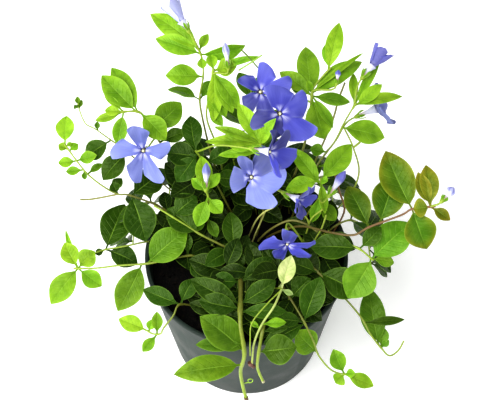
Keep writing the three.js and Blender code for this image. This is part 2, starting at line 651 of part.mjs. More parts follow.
// The soil: fills the pot to below the rim, uneven on top, with a plain hole for every stem
function soilSolid(stems) {
  const wallAt = (z) => {
    const share = (z - POT.floor) / (POT.height - POT.edge - POT.floor);
    const insideBase = POT.baseRadius - POT.wall;
    return insideBase + (insideTop - insideBase) * share - FIT_GAP * 1.5;
  };
  const random = randomFrom(SOIL.seed);
  const bottom = POT.floor + FIT_GAP;
  const { rings, sides } = SOIL;
  const points = [new THREE.Vector3(0, 0, bottom)];
  const ringStart = [];
  const addRing = (radius, height) => {
    ringStart.push(points.length);
    for (let i = 0; i < sides; i += 1) {
      const angle = (i / sides) * 2 * Math.PI;
      points.push(new THREE.Vector3(radius * Math.cos(angle), radius * Math.sin(angle), height()));
    }
  };
  addRing(wallAt(bottom), () => bottom);
  addRing(wallAt(SOIL.top - SOIL.mound), () => SOIL.top - SOIL.mound);
  for (let ring = rings - 1; ring > 0; ring -= 1) {
    const u = ring / rings;
    const crown = SOIL.top - SOIL.mound * u * u;
    addRing(wallAt(SOIL.top) * u, () => crown + (random() * 2 - 1) * SOIL.roughness);
  }
  points.push(new THREE.Vector3(0, 0, SOIL.top));
  const triangles = [];
  const next = (i) => (i + 1) % sides;
  for (let i = 0; i < sides; i += 1) {
    triangles.push([0, ringStart[0] + next(i), ringStart[0] + i]);
    for (let r = 0; r + 1 < ringStart.length; r += 1) {
      const [a, b] = [ringStart[r], ringStart[r + 1]];
      triangles.push([a + i, a + next(i), b + next(i)], [a + i, b + next(i), b + i]);
    }
    const inner = ringStart.at(-1);
    triangles.push([inner + i, inner + next(i), points.length - 1]);
  }
  let soil = closedMesh(points, triangles);
  for (const { stem, radius } of stems) {
    const root = rootOf(stem);
    const along = vec(stem[0]).sub(root).normalize();
    const depth = (ROOT.depth + ROOT.holeReach) / along.z;
    const hole = radius + ROOT.holeGap;
    const drill = [[0, 0], [hole, 0], [hole, depth], [0, depth]];
    soil = soil.subtract(turned(drill, ROOT.holeSides, root.addScaledVector(along, -ROOT.holeGap), along));
  }
  return soil;
}

const group = new THREE.Group();

function addPiece(name, solid, color, roughness) {
  const material = new THREE.MeshStandardMaterial({ color, roughness, metalness: 0 });
  const mesh = new THREE.Mesh(geometryOf(solid), material);
  mesh.name = name;
  group.add(mesh);
}

const shoots = Object.entries(SHOOTS).map(([name, spec]) => [`shoot_${name}`, spec]);
const random = randomFrom(BACK.seed);
BACK_STEMS.forEach((spec, i) => shoots.push([`shoot_back_${i + 1}`, backShoot(spec, i, random)]));

addPiece('pot', potSolid(), COLOUR.pot, ROUGHNESS.pot);
addPiece('soil', soilSolid(shoots.map(([, spec]) => spec)), COLOUR.soil, ROUGHNESS.soil);
for (const [name, spec] of shoots) addPiece(name, shoot(spec), COLOUR[spec.colour], ROUGHNESS.leaf);
for (const [name, flower] of Object.entries(FLOWERS)) {
  const solid = flower.closed ? closedBud(flower) : openFlower(flower);
  addPiece(name, solid, COLOUR[flower.colour], ROUGHNESS.petal);
}

export default group;
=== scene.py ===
"""Looks of a potted lesser periwinkle (Vinca minor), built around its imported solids.

The plant's tables are in millimetres, as its solids are. Meshes are made in metres.
"""

import logging
import math
from dataclasses import dataclass, field
from enum import Enum

import bpy
import numpy as np
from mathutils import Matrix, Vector


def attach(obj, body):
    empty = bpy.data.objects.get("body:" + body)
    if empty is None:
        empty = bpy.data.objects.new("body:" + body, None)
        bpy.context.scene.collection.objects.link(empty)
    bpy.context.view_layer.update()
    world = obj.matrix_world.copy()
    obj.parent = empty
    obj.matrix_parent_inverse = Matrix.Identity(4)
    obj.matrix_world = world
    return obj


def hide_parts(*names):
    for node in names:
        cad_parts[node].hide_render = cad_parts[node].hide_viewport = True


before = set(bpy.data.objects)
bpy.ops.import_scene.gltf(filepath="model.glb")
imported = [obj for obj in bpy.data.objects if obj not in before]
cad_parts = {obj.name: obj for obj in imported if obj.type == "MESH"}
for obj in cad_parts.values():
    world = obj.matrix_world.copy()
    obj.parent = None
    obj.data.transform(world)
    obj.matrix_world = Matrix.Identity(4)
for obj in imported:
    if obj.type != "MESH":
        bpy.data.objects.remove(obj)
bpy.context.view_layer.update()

logging.basicConfig(level=logging.INFO, format="%(message)s")
log = logging.getLogger("periwinkle")

MM = 0.001
UP = np.array([0.0, 0.0, 1.0])
UV_NAME = "blade"
TINT_NAME = "tint"
PETALS = 5
FULL_TURN = 2 * math.pi

# How near vertices are that get merged
SAME_PLACE = 1e-6

# How far a stem's root leans, how high it ends, and at what percent its last joint is
ROOT_LEAN = 3.0
ROOT_HEIGHT = 68.0
TIP_PERCENT = 97.0

# How far behind the foot of its flower's tube a calyx is placed
CALYX_GAP = 0.1

Pair = tuple[float, float]
Point = tuple[float, float, float]
Lobe = tuple[float, float, float, float]
Colour = tuple[float, float, float, float]

# What a ramp gives that fades out
FADE: Pair = (1.0, 0.0)


class Tone(Enum):
    """How old a leaf is, and so its green; the darkest is painted shade for leaves deep inside."""

    # Painted shade: the darkest green stands in for the shade inside the foliage
    DEEP = "#1E310B"
    MATURE = "#2C490D"
    MID = "#678F26"
    YOUNG = "#7CA828"
    PALE = "#ACBA80"
    TINGED = "#4E7018"

    @property
    def flush(self) -> str:
        """The colour that its margin and tip turn to."""
        return {"TINGED": "#A08A28", "YOUNG": "#9CC438", "PALE": "#D0D8B4"}.get(self.name, self.value)


class Hue(Enum):
    """The colour of a corolla."""

    VIOLET = "#393C9E"
    PALE = "#656FAE"
    BUD = "#A9AEDC"


@dataclass(frozen=True)
class Leaf:
    """One leaf: percent along its stem, turn and lift in degrees, length, width, and roll."""

    percent: float
    turn: float
    lift: float
    length: float
    width: float
    roll: float = 0.0


@dataclass(frozen=True)
class Flower:
    """One flower or bud: its throat, the turn and lift it faces, its sizes and its colour.

    Each lobe has its turn about the throat, its length, its width and how far it cups forward, or
    all five are alike and evenly spun. The tones and shading say how light each lobe is: the values
    that a flower gives are painted light and shade, darker on lobes turned from the light and lighter
    on lobes turned to it, and the default is plain differences in tone. The waist is how wide a petal
    starts, as a share of its width, and the rise is how far its stalk bows up.
    """

    throat: Point
    facing: Pair
    tube: float
    hue: Hue
    lobes: tuple[Lobe, ...] = ()
    # Plain tone differences between lobes by default; values that a flower gives are painted light and
    # shade
    tones_and_shading: tuple[float, ...] = (1.0, 0.85, 1.1, 0.8, 1.15)
    petal: float = 12.0
    width: float = 10.0
    cup: float = 0.0
    spin: float = 0.0
    waist: float = 0.5
    rise: float = 0.12
    closed: bool = False

    @property
    def axis(self) -> np.ndarray:
        """The unit vector that it faces along."""
        return direction(*self.facing)

    @property
    def across(self) -> np.ndarray:
        """A level unit vector, square to the axis."""
        return unit(np.cross(UP, self.axis))

    @property
    def foot(self) -> np.ndarray:
        """Where its calyx holds its tube."""
        return np.array(self.throat) - self.axis * (self.tube + CALYX_GAP)

    def petals(self) -> list[Lobe]:
        """Gives each petal's turn, length, width and cup."""
        turns = [self.spin + 360 / PETALS * i for i in range(PETALS)]
        return list(self.lobes) or [(turn, self.petal, self.width, self.cup) for turn in turns]

    def stood(self, points: np.ndarray) -> np.ndarray:
        """Turns points that were made about +Z to lie about its axis."""
        other = np.cross(self.axis, self.across)
        return (
            np.outer(points[:, 0], self.across) + np.outer(points[:, 1], other)
            + np.outer(points[:, 2], self.axis)
        )


@dataclass(frozen=True)
class Shoot:
    """One leafy stem, in the measures of its solid.

    It has a radius, the tones of its inner and outer leaves, its slot, its points from the soil on,
    its leaves, and its flowers, each with its percent along the stem. The girth is its true radius
    as a share of its solid's, the light is where its leaves' upper faces turn, the skin is its
    colour towards the tip, and the ages are the percents between which its leaves pass from the
    inner tone to the outer.
    """

    radius: float
    inner: Tone
    outer: Tone
    slot: str
    stem: list[Point]
    leaves: list[Leaf]
    flowers: list[tuple[float, str]] = field(default_factory=list)
    girth: float = 0.55
    light: Point = (0.0, -0.35, 1.0)
    skin: str = "#8FA82E"
    ages: Pair = (35.0, 88.0)


# Lobe lightnesses given here are painted light and shade, darker where a lobe turns from the light
FLOWERS: dict[str, Flower] = {
    "flower_left": Flower(
        (-54, 32, 141), (262, 52), tube=9,
        lobes=((7, 12.5, 9.5, 4), (109, 12, 11.5, 14), (182, 15, 11, 10),
            (254, 15, 10, 4), (300, 17, 9.5, 4)),
        hue=Hue.PALE, waist=0.35,
    ),
    "flower_top": Flower(
        (7, 54, 163), (255, 58), tube=10,
        lobes=((20, 15, 12, 8), (83, 13, 11, 10), (151, 11, 8, 22),
            (238, 10.5, 10, 2), (298, 14, 10, 0)),
        tones_and_shading=(1.0, 1.1, 0.8, 0.65, 0.8), hue=Hue.VIOLET,
    ),
    "flower_upper_right": Flower(
        (17, 27, 181), (288, 54), tube=10,
        lobes=((9, 13.5, 13, 8), (80, 12.5, 15, 12), (180, 13.5, 9.5, -10),
            (252, 9, 9.5, 0), (304, 17.5, 14.5, 4)),
        tones_and_shading=(1.0, 1.0, 0.6, 0.55, 1.1), hue=Hue.VIOLET,
    ),
    "flower_side": Flower(
        (13, 6, 178), (338, 16), tube=10,
        lobes=((4, 12, 9.5, 34), (47, 10, 9.5, 16), (232, 12, 7.5, 28),
            (256, 11, 8, 12), (294, 14.5, 12.5, 30)),
        tones_and_shading=(0.6, 0.6, 1.9, 0.8, 1.1), rise=0.06, hue=Hue.VIOLET,
    ),
    "flower_centre": Flower(
        (2, 5, 157), (240, 46), tube=9,
        lobes=((16, 15.5, 14, -6), (73, 14.5, 13, 2), (128, 10.5, 8, 22),
            (212, 9.5, 13.5, 14), (314, 16, 15.5, -8)),
        tones_and_shading=(1.15, 0.55, 0.7, 0.75, 1.2), hue=Hue.PALE,
    ),
    "flower_front": Flower(
        (21, -17, 126), (272, 6), tube=9,
        lobes=((3, 12.5, 6.5, 8), (84, 12, 9, 10), (161, 12.5, 11.5, 10),
            (237, 10, 8, 10), (318, 12.5, 8, 12)),
        hue=Hue.VIOLET,
    ),
    "flower_low_side": Flower(
        (28, 2, 140), (330, 4), tube=9,
        lobes=((8, 9, 8, 30), (80, 12, 7.5, 32), (150, 7, 7, 20),
            (248, 10.5, 8, 24), (312, 10, 8, 30)),
        hue=Hue.VIOLET,
    ),
    "flower_right_side": Flower(
        (70, 59, 142), (12, 22), tube=11,
        petal=12, width=10, cup=30, spin=15, hue=Hue.PALE,
    ),
    "bud_high": Flower(
        (-34, 88, 180), (127, 26), tube=6,
        petal=13, width=7, cup=72, spin=10, hue=Hue.BUD,
    ),
    "bud_right_open": Flower(
        (66, 70, 166), (48, 24), tube=8,
        petal=11, width=7.5, cup=68, spin=25, hue=Hue.VIOLET,
    ),
    "bud_blue": Flower(
        (-21, 20, 132), (88, 40), tube=4,
        petal=9, width=4.4, closed=True, hue=Hue.PALE,
    ),
    "bud_white": Flower(
        (-10, 69, 172), (100, 44), tube=4,
        petal=8, width=3.6, closed=True, hue=Hue.BUD,
    ),
    "bud_purple": Flower(
        (46, 12, 139), (48, 36), tube=5,
        petal=9, width=4.6, closed=True, hue=Hue.VIOLET,
    ),
    "bud_tiny": Flower(
        (47, 60, 167), (80, 40), tube=1.5,
        petal=4, width=3, closed=True, hue=Hue.VIOLET,
    ),
    "bud_far_right": Flower(
        (101, 1, 146), (45, 20), tube=2,
        petal=6, width=5, closed=True, hue=Hue.BUD,
    ),
}

SHOOTS: dict[str, Shoot] = {
    "bud_shoot": Shoot(
        1.1, Tone.MID, Tone.YOUNG, "leaf_young",
        stem=[
            (-10, 30, 82), (-18, 46, 108), (-23, 58, 128), (-25, 66, 140), (-23, 71, 152),
            (-23, 76, 160), (-25, 79, 167),
        ],
        leaves=[
            Leaf(93, 165, 12, 25, 11), Leaf(97, 142, 10, 34, 12), Leaf(92, 10, 5, 24, 10, 60),
            Leaf(97, 55, 35, 10, 5), Leaf(68, 185, 10, 20, 12), Leaf(50, 165, 10, 18, 9, 40),
            Leaf(50, 60, 10, 13, 7),
        ],
        flowers=[(98, "bud_high")],
    ),
    "hanging_group": Shoot(
        1, Tone.YOUNG, Tone.YOUNG, "leaf_young",
        stem=[
            (-14, 36, 82), (-14, 46, 112), (-21, 56, 135), (-20, 62, 146), (-19, 65, 154),
            (-17, 69, 163),
        ],
        leaves=[
            Leaf(97, 270, -55, 28, 8), Leaf(100, 305, -45, 25, 9), Leaf(95, 315, -35, 24, 9),
            Leaf(82, 305, -45, 20, 8), Leaf(100, 0, 20, 13, 10), Leaf(98, 10, 15, 26, 4),
            Leaf(53, 315, -35, 14, 6),
        ],
        flowers=[(94, "bud_white")],
    ),
    "left_high_cluster": Shoot(
        1.2, Tone.MATURE, Tone.YOUNG, "leaf_mid",
        stem=[
            (-19, 29, 82), (-31, 38, 104), (-44, 44, 126), (-51, 49, 138), (-56, 53, 146),
            (-66, 52, 148),
        ],
        leaves=[
            Leaf(83, 120, 10, 30, 11), Leaf(85, 135, 15, 27, 13), Leaf(100, 140, 15, 14, 4),
            Leaf(100, 175, 0, 10, 6), Leaf(98, 255, -40, 18, 8), Leaf(80, 320, -25, 20, 12),
            Leaf(57, 45, 10, 22, 14), Leaf(100, 190, -15, 16, 5), Leaf(45, 20, 10, 15, 8),
        ],
        flowers=[(50, "flower_left")],
    ),
    "left_thin_shoot": Shoot(
        0.8, Tone.MATURE, Tone.MID, "leaf_mid",
        stem=[
            (-23, 22, 82), (-36, 28, 100), (-52, 35, 116), (-64, 43, 124), (-74, 49, 128),
            (-81, 53, 131), (-86, 55, 133), (-89, 60, 137), (-90, 63, 141),
        ],
        leaves=[
            Leaf(48, 200, -30, 18, 11), Leaf(100, 90, 65, 5, 3), Leaf(37, 225, -20, 20, 12),
        ],
    ),
    "left_shoot": Shoot(
        1, Tone.MATURE, Tone.YOUNG, "leaf_mid",
        stem=[
            (-28, 16, 82), (-44, 20, 102), (-62, 24, 110), (-69, 25, 110), (-77, 28, 113),
            (-85, 33, 117), (-90, 38, 120), (-95, 44, 123), (-98, 47, 126),
        ],
        leaves=[
            Leaf(100, 90, 15, 17, 10), Leaf(90, 155, 10, 6, 5), Leaf(88, 40, 10, 6, 5),
            Leaf(78, 185, -5, 10, 6), Leaf(78, 5, 20, 12, 7), Leaf(68, 180, -10, 10, 5),
            Leaf(63, 35, 10, 10, 4), Leaf(25, 45, -3, 23, 15), Leaf(25, 290, -25, 26, 18),
            Leaf(43, 50, 20, 9, 6),
        ],
    ),
    "left_round_leaves": Shoot(
        1, Tone.MATURE, Tone.MATURE, "leaf_mature",
        stem=[
            (-13, 10, 82), (-33, 7, 93), (-52, 5, 94), (-65, 2, 94), (-76, 1, 92), (-81, -2, 94),
        ],
        leaves=[
            Leaf(80, 72, 5, 29, 17), Leaf(80, 340, -15, 19, 12),
        ],
    ),
    "left_trailing": Shoot(
        1.2, Tone.MATURE, Tone.YOUNG, "leaf_mid",
        stem=[
            (-12, -4, 82), (-17, -4, 92), (-30, -5, 96), (-41, -8, 97), (-53, -10, 96), (-68, -10, 94),
            (-81, -10, 91), (-93, -9, 89),
        ],
        leaves=[
            Leaf(57, 36, 20, 28, 18), Leaf(60, 240, -26, 28, 15), Leaf(30, 94, 35, 13, 6),
            Leaf(28, 305, -15, 15, 12), Leaf(100, 230, -20, 24, 13), Leaf(100, 120, 20, 16, 10),
            Leaf(98, 40, 25, 13, 11), Leaf(98, 330, -25, 16, 10), Leaf(100, 110, 15, 23, 3),
        ],
    ),
    "thick_cut_stem": Shoot(
        1.6, Tone.MATURE, Tone.MATURE, "leaf_mature",
        stem=[
            (0, 4, 82), (-7, -3, 98), (-17, -1, 104), (-25, 2, 107), (-35, 7, 111), (-43, 11, 114),
            (-49, 14, 116),
        ],
        leaves=[
            Leaf(17, 95, 25, 21, 11), Leaf(50, 145, 15, 22, 14), Leaf(18, 218, 8, 18, 10),
            Leaf(17, 305, -15, 10, 6), Leaf(75, 38, 15, 17, 13),
        ],
        girth=0.42,
    ),
    "small_bud_shoot": Shoot(
        0.9, Tone.MATURE, Tone.YOUNG, "leaf_young",
        stem=[
            (-7, 13, 82), (-17, 10, 96), (-21, 12, 106), (-20, 15, 120), (-21, 17, 126),
        ],
        leaves=[
            Leaf(93, 100, 25, 20, 9), Leaf(95, 140, 15, 11, 6), Leaf(100, 50, 25, 12, 6),
            Leaf(82, 245, -35, 17, 9), Leaf(80, 315, -20, 11, 8), Leaf(52, 300, -25, 12, 6),
            Leaf(48, 215, -10, 10, 5),
        ],
        flowers=[(97, "bud_blue")],
    ),
    "dark_left_centre": Shoot(
        1.1, Tone.MATURE, Tone.MATURE, "leaf_mature",
        stem=[
            (-5, 22, 82), (-13, 28, 104), (-22, 36, 122), (-27, 39, 131),
        ],
        leaves=[
            Leaf(100, 100, 15, 21, 11), Leaf(93, 230, -25, 19, 12), Leaf(52, 0, -10, 14, 10),
            Leaf(48, 205, -25, 9, 8), Leaf(68, 25, 15, 16, 10), Leaf(83, 175, 5, 18, 14),
            Leaf(33, 70, 15, 21, 10), Leaf(67, 130, 5, 19, 11),
        ],
        flowers=[(100, "flower_side")],
    ),
    "lower_left": Shoot(
        1, Tone.MATURE, Tone.YOUNG, "leaf_young",
        stem=[
            (-18, -27, 82), (-27, -32, 90), (-35, -35, 97), (-38, -41, 96), (-43, -46, 92),
            (-45, -47, 87), (-49.5, -45, 83), (-52.5, -43, 83),
        ],
        leaves=[
            Leaf(28, 158, 5, 21, 10), Leaf(27, 60, 25, 15, 9), Leaf(100, 160, 10, 17, 9),
            Leaf(95, 65, 40, 7, 5), Leaf(78, 90, 35, 12, 6), Leaf(78, 225, -25, 12, 6),
        ],
    ),
    "front_stem": Shoot(
        1.7, Tone.MATURE, Tone.YOUNG, "leaf_mid",
        stem=[
            (-4, -9, 82), (-3, -23, 100), (-3, -37, 104), (-3, -50, 103), (-1, -60, 90), (-3, -62, 74),
            (-2, -65, 62), (0, -69, 52),
        ],
        leaves=[
            Leaf(56, 150, 30, 30, 17), Leaf(66, 190, 3, 36, 14), Leaf(30, 155, 10, 29, 12),
            Leaf(33, 170, 5, 22, 12), Leaf(15, 180, 5, 16, 10), Leaf(15, 36, 15, 21, 10),
            Leaf(30, 30, 15, 22, 11), Leaf(35, 358, 5, 24, 8), Leaf(52, 178, -5, 25, 8),
        ],
        girth=0.75,
    ),
    "second_cut_stem": Shoot(
        1.6, Tone.MATURE, Tone.MID, "leaf_mid",
        stem=[
            (8, -23, 82), (10, -40, 97), (8, -53, 99), (6, -61, 87), (6, -62, 76), (9, -65, 66),
        ],
        leaves=[
            Leaf(38, 4, 15, 14, 5), Leaf(54, 2, 12, 20, 16),
        ],
        girth=0.65,
    ),
    "pale_arch": Shoot(
        0.8, Tone.PALE, Tone.PALE, "leaf_young",
        stem=[
            (12, -16, 82), (15, -28, 102), (18, -34, 112), (11, -42, 112), (3, -51, 108),
            (2, -57, 100), (2, -61, 90),
        ],
        leaves=[
            Leaf(32, 70, 35, 18, 9), Leaf(23, 45, 25, 12, 3),
        ],
    ),
    "front_right": Shoot(
        1.1, Tone.MATURE, Tone.YOUNG, "leaf_mid",
        stem=[
            (17, -9, 82), (20, -27, 99), (25, -37, 100), (30, -46, 98), (35, -52, 88), (38, -54, 76),
            (44, -57, 66), (49, -57, 60), (54, -57, 58),
        ],
        leaves=[
            Leaf(37, 66, 30, 25, 13), Leaf(38, 205, -10, 24, 10), Leaf(37, 185, 22, 18, 8),
            Leaf(60, 156, 50, 20, 14), Leaf(100, 120, 35, 15, 9), Leaf(100, 220, -25, 7, 8),
            Leaf(100, 340, -10, 17, 8), Leaf(20, 40, 25, 15, 12),
        ],
    ),
    "right_trailing": Shoot(
        1.1, Tone.MATURE, Tone.MID, "leaf_mid",
        stem=[
            (25, 4, 82), (29, -8, 98), (36, -18, 104), (46, -27, 100), (54, -30, 90), (62, -34, 78),
            (67, -38, 68), (73, -42, 60), (78, -44, 54), (83, -41, 54), (86, -37, 58),
        ],
        leaves=[
            Leaf(22, 335, -10, 25, 17), Leaf(68, 100, 25, 32, 14), Leaf(52, 5, 0, 22, 5),
            Leaf(70, 80, 30, 11, 7), Leaf(22, 165, 15, 18, 10), Leaf(18, 210, -15, 16, 10),
        ],
    ),
    "right_middle": Shoot(
        1.2, Tone.MATURE, Tone.MID, "leaf_mid",
        stem=[
            (18, 9, 82), (34, -2, 104), (49, -8, 114), (58, -12, 116), (66, -17, 112),
        ],
        leaves=[
            Leaf(100, 235, -25, 24, 18), Leaf(100, 40, 15, 28, 18), Leaf(100, 0, -20, 13, 7),
            Leaf(75, 175, -5, 25, 14), Leaf(77, 40, 25, 16, 9),
        ],
        flowers=[(20, "flower_front")],
        ages=(70, 100),
    ),
    "right_shoot": Shoot(
        1.2, Tone.MATURE, Tone.TINGED, "leaf_tinged",
        stem=[
            (12, 15, 82), (28, 6, 108), (43, -6, 122), (55, -10, 126), (63, -7, 129), (79, -3, 134),
            (85, -1, 137), (96, -2, 141),
        ],
        leaves=[
            Leaf(62, 70, 20, 26, 17), Leaf(85, 115, 20, 33, 18), Leaf(85, 295, -35, 22, 17),
            Leaf(98, 95, 20, 22, 10), Leaf(98, 110, 20, 19, 8), Leaf(100, 180, -15, 9, 10),
            Leaf(100, 325, -10, 12, 6), Leaf(57, 115, 10, 25, 13),
        ],
        flowers=[(100, "bud_far_right")],
        skin="#7A5630",
    ),
    "upper_right_fan": Shoot(
        1.3, Tone.MID, Tone.YOUNG, "leaf_mid",
        stem=[
            (18, 31, 82), (27, 39, 112), (32, 47, 134), (34, 55, 156), (35, 59, 160), (44, 68, 165),
        ],
        leaves=[
            Leaf(62, 95, 5, 31, 12), Leaf(66, 35, 5, 33, 10), Leaf(100, 88, 20, 16, 8),
            Leaf(100, 76, 20, 27, 9), Leaf(66, 40, -5, 30, 8), Leaf(62, 140, 5, 22, 9),
            Leaf(62, 140, -10, 14, 7), Leaf(62, 0, -15, 21, 7), Leaf(60, 295, -45, 23, 15),
            Leaf(62, 310, -30, 20, 5),
        ],
        flowers=[(57, "flower_top"), (46, "flower_upper_right"), (72, "bud_tiny")],
    ),
    "right_narrow_fan": Shoot(
        1.1, Tone.MID, Tone.YOUNG, "leaf_young",
        stem=[
            (24, 24, 82), (34, 34, 112), (42, 39, 128), (47, 42, 136), (52, 48, 146), (57, 52, 156),
        ],
        leaves=[
            Leaf(98, 90, 10, 19, 5), Leaf(100, 62, 8, 31, 5), Leaf(96, 36, 15, 19, 7),
            Leaf(98, 13, 0, 26, 6), Leaf(73, 355, -15, 24, 13), Leaf(42, 165, 0, 9, 7),
            Leaf(28, 15, -10, 19, 6),
        ],
        flowers=[(96, "bud_right_open"), (60, "flower_right_side")],
    ),
    "right_inner_bright": Shoot(
        1, Tone.MATURE, Tone.YOUNG, "leaf_mid",
        stem=[
            (27, 16, 82), (34, 17, 106), (39, 19, 118), (39, 22, 130),
        ],
        leaves=[
            Leaf(100, 50, 10, 26, 12), Leaf(95, 190, -10, 19, 9), Leaf(98, 280, -40, 18, 5),
            Leaf(85, 130, 20, 26, 9), Leaf(67, 250, -35, 15, 6), Leaf(57, 320, -30, 15, 8),
        ],
        flowers=[(60, "bud_purple"), (40, "flower_low_side")],
    ),
    "centre_yellow": Shoot(
        1, Tone.MID, Tone.YOUNG, "leaf_young",
        stem=[
            (6, 17, 82), (10, 19, 112), (11, 21, 136), (8, 24, 154), (7, 25, 158),
        ],
        leaves=[
            Leaf(97, 325, 74, 29, 6.5), Leaf(100, 180, 5, 28, 6), Leaf(100, 120, 20, 24, 9),
            Leaf(98, 180, -5, 16, 8), Leaf(75, 70, 25, 18, 8), Leaf(78, 105, 25, 9, 6),
            Leaf(73, 180, -10, 23, 5), Leaf(100, 165, 15, 25, 5), Leaf(90, 115, 10, 16, 6),
        ],
        flowers=[(50, "flower_centre")],
    ),
}


# Leaves too small or too narrow for the solids
SMALL_LEAVES = {
    "bud_shoot": [Leaf(90, 280, -55, 7, 5)],
    "left_thin_shoot": [Leaf(60, 90, 50, 5, 3), Leaf(92, 60, 45, 5, 2.5), Leaf(97, 250, 30, 5, 2.5)],
    "left_shoot": [Leaf(67, 275, -25, 5, 3), Leaf(38, 120, 40, 7, 6), Leaf(95, 20, 30, 4, 2.5)],
    "left_round_leaves": [Leaf(81, 195, -20, 6, 4)],
    "dark_left_centre": [Leaf(92, 210, -30, 6, 5)],
    "second_cut_stem": [Leaf(32, 150, 30, 6, 4)],
    "pale_arch": [Leaf(33, 345, -25, 7, 3)],
    "front_right": [Leaf(97, 355, 20, 6, 5)],
    "right_trailing": [Leaf(70, 35, 30, 6, 4)],
    "upper_right_fan": [Leaf(64, 120, 50, 8, 4), Leaf(68, 35, 15, 34, 3)],
    "right_inner_bright": [Leaf(97, 315, 40, 6, 5)],
    "hanging_group": [Leaf(97, 100, 10, 10, 6)],
}


@dataclass(frozen=True)
class Twig:
    """A thin stem: its points, radius and colour, whether it grows from the soil, and its leaves."""

    points: list[Point]
    radius: float = 0.45
    skin: str = "#9DB040"
    rooted: bool = True
    leaves: tuple[Leaf, ...] = ()


# Thin stems, stubs and cut ends, too fine for the solids
TWIGS = {
    "pale_stalk_left": Twig([(2, 16, 84), (5, 14, 100), (9, 12, 112), (14, 9, 122)], skin="#C9CC78"),
    "pale_stalk_right": Twig([(4, 13, 84), (7, 14, 96), (10, 15, 108)], skin="#C9CC78"),
    "arched_stem": Twig(
        [(7, 13, 82), (14, 12, 96), (23, 12, 104), (31, 9, 106), (38, 5, 104)], 0.6, "#7C7A38"
    ),
    "forked_stem": Twig([(29, 4, 84), (32, 7, 98), (33, 7, 110), (30, 9, 116), (28, 9, 121)]),
    "fork": Twig([(33, 7, 108), (35, 8, 114), (40, 8, 122)], rooted=False),
    "thin_stem": Twig([(33, 2, 84), (37, 3, 100), (40, 5, 108), (42, 8, 116)]),
    "long_stalk": Twig(
        [(46, 27, 82), (57, 33, 97), (61, 38, 112), (57, 43, 128), (51, 47, 142)]
    ),
    "stalk_stub": Twig([(57, 43, 128), (60, 44, 131), (61, 44, 134)], 0.6, rooted=False),
    "brown_stem": Twig(
        [(46, 14, 82), (53, 20, 100), (50, 25, 112), (47, 31, 121), (43, 38, 127)], 0.55, "#7A5A34"
    ),
    "fan_stem": Twig(
        [(30, 40, 82), (39, 50, 110), (46, 58, 130), (49, 64, 142), (52, 68, 152)], 0.55, "#86863C"
    ),
    "pale_branch": Twig(
        [(18, -34.5, 112.5), (14, -45, 114), (8, -50, 104), (4, -56, 94), (3, -61.5, 82)],
        0.6, "#A6B662", False, (Leaf(33, 2, 5, 12.5, 5.5), Leaf(40, 150, 10, 6, 3)),
    ),
    "needle": Twig([(-3, 71.5, 176), (1.5, 69, 172), (6, 65.5, 168)], 0.4, "#5E7E24", False),
    "crossing_needle": Twig([(8, 69, 174), (2, 67, 170), (-4, 67, 164)], 0.4, "#8FB83A", False),
    "cut_left": Twig(
        [(-69, 25, 110), (-77, 27, 104), (-85, 28, 100), (-91, 29, 98)], 0.5, "#7A7A34", False
    ),
    "tendril": Twig(
        [
            (-2, -64, 62), (0.8, -64.5, 64.2), (2.6, -64.5, 64.4), (3.4, -64, 66), (2.4, -63.8, 67.3),
            (0.9, -64, 66.6), (1, -64.3, 65.2),
        ],
        0.3, "#8FB82E", False,
    ),
    "knot": Twig([(1.9, -61, 82), (2.5, -61.8, 80.6)], 1.5, "#6E4A3C", False),
    "knot_foot": Twig([(2.7, -61.9, 80.4), (4.1, -62.5, 79.2)], 1.15, "#5A3E34", False),
    "front_cut_end": Twig([(-0.3, -68.4, 54), (0.1, -69.2, 51.6)], 1.25, "#5B4A2A", False),
    "second_cut_end": Twig([(8.6, -64.6, 67.2), (9, -65, 66)], 0.95, "#B4B08A", False),
}


def linear(hex_colour: str) -> np.ndarray:
    """Turns an sRGB hex colour into linear RGBA.

    Args:
        hex_colour: a colour such as "#35641A".

    Returns:
        Red, green, blue and alpha, from 0 to 1.
    """
    parts = [int(hex_colour[i : i + 2], 16) / 255 for i in (1, 3, 5)]
    flat = [c / 12.92 if c <= 0.04045 else ((c + 0.055) / 1.055) ** 2.4 for c in parts]
    return np.array([*flat, 1.0])


def unit(vector: np.ndarray) -> np.ndarray:
    """Scales a vector to length 1."""
    return vector / np.linalg.norm(vector)


def direction(turn: float, lift: float) -> np.ndarray:
    """Gives the unit vector of a turn about +Z, from +X, and a lift above level, in degrees."""
    t, e = math.radians(turn), math.radians(lift)
    return np.array([math.cos(e) * math.cos(t), math.cos(e) * math.sin(t), math.sin(e)])


def turned_about(vector: np.ndarray, axis: np.ndarray, angle: float) -> np.ndarray:
    """Turns a vector about a unit axis by an angle in radians."""
    across = np.cross(axis, vector)
    along = axis * (vector @ axis)
    return vector * math.cos(angle) + across * math.sin(angle) + along * (1 - math.cos(angle))


def smooth(low: float, high: float, value: np.ndarray | float) -> np.ndarray | float:
    """Eases from 0 at low to 1 at high."""
    share = np.clip((np.asarray(value, float) - low) / (high - low), 0, 1)
    return share * share * (3 - 2 * share)


def deselect() -> None:
    """Leaves nothing selected, in object mode."""
    if bpy.context.mode != "OBJECT":
        bpy.ops.object.mode_set(mode="OBJECT")
    bpy.ops.object.select_all(action="DESELECT")


def activate(piece: bpy.types.Object) -> None:
    """Makes a piece the only selected and active one."""
    deselect()
    piece.select_set(True)
    bpy.context.view_layer.objects.active = piece


def edit(piece: bpy.types.Object) -> None:
    """Opens a piece in edit mode with all of it selected."""
    activate(piece)
    bpy.ops.object.mode_set(mode="EDIT")
    bpy.ops.mesh.select_all(action="SELECT")


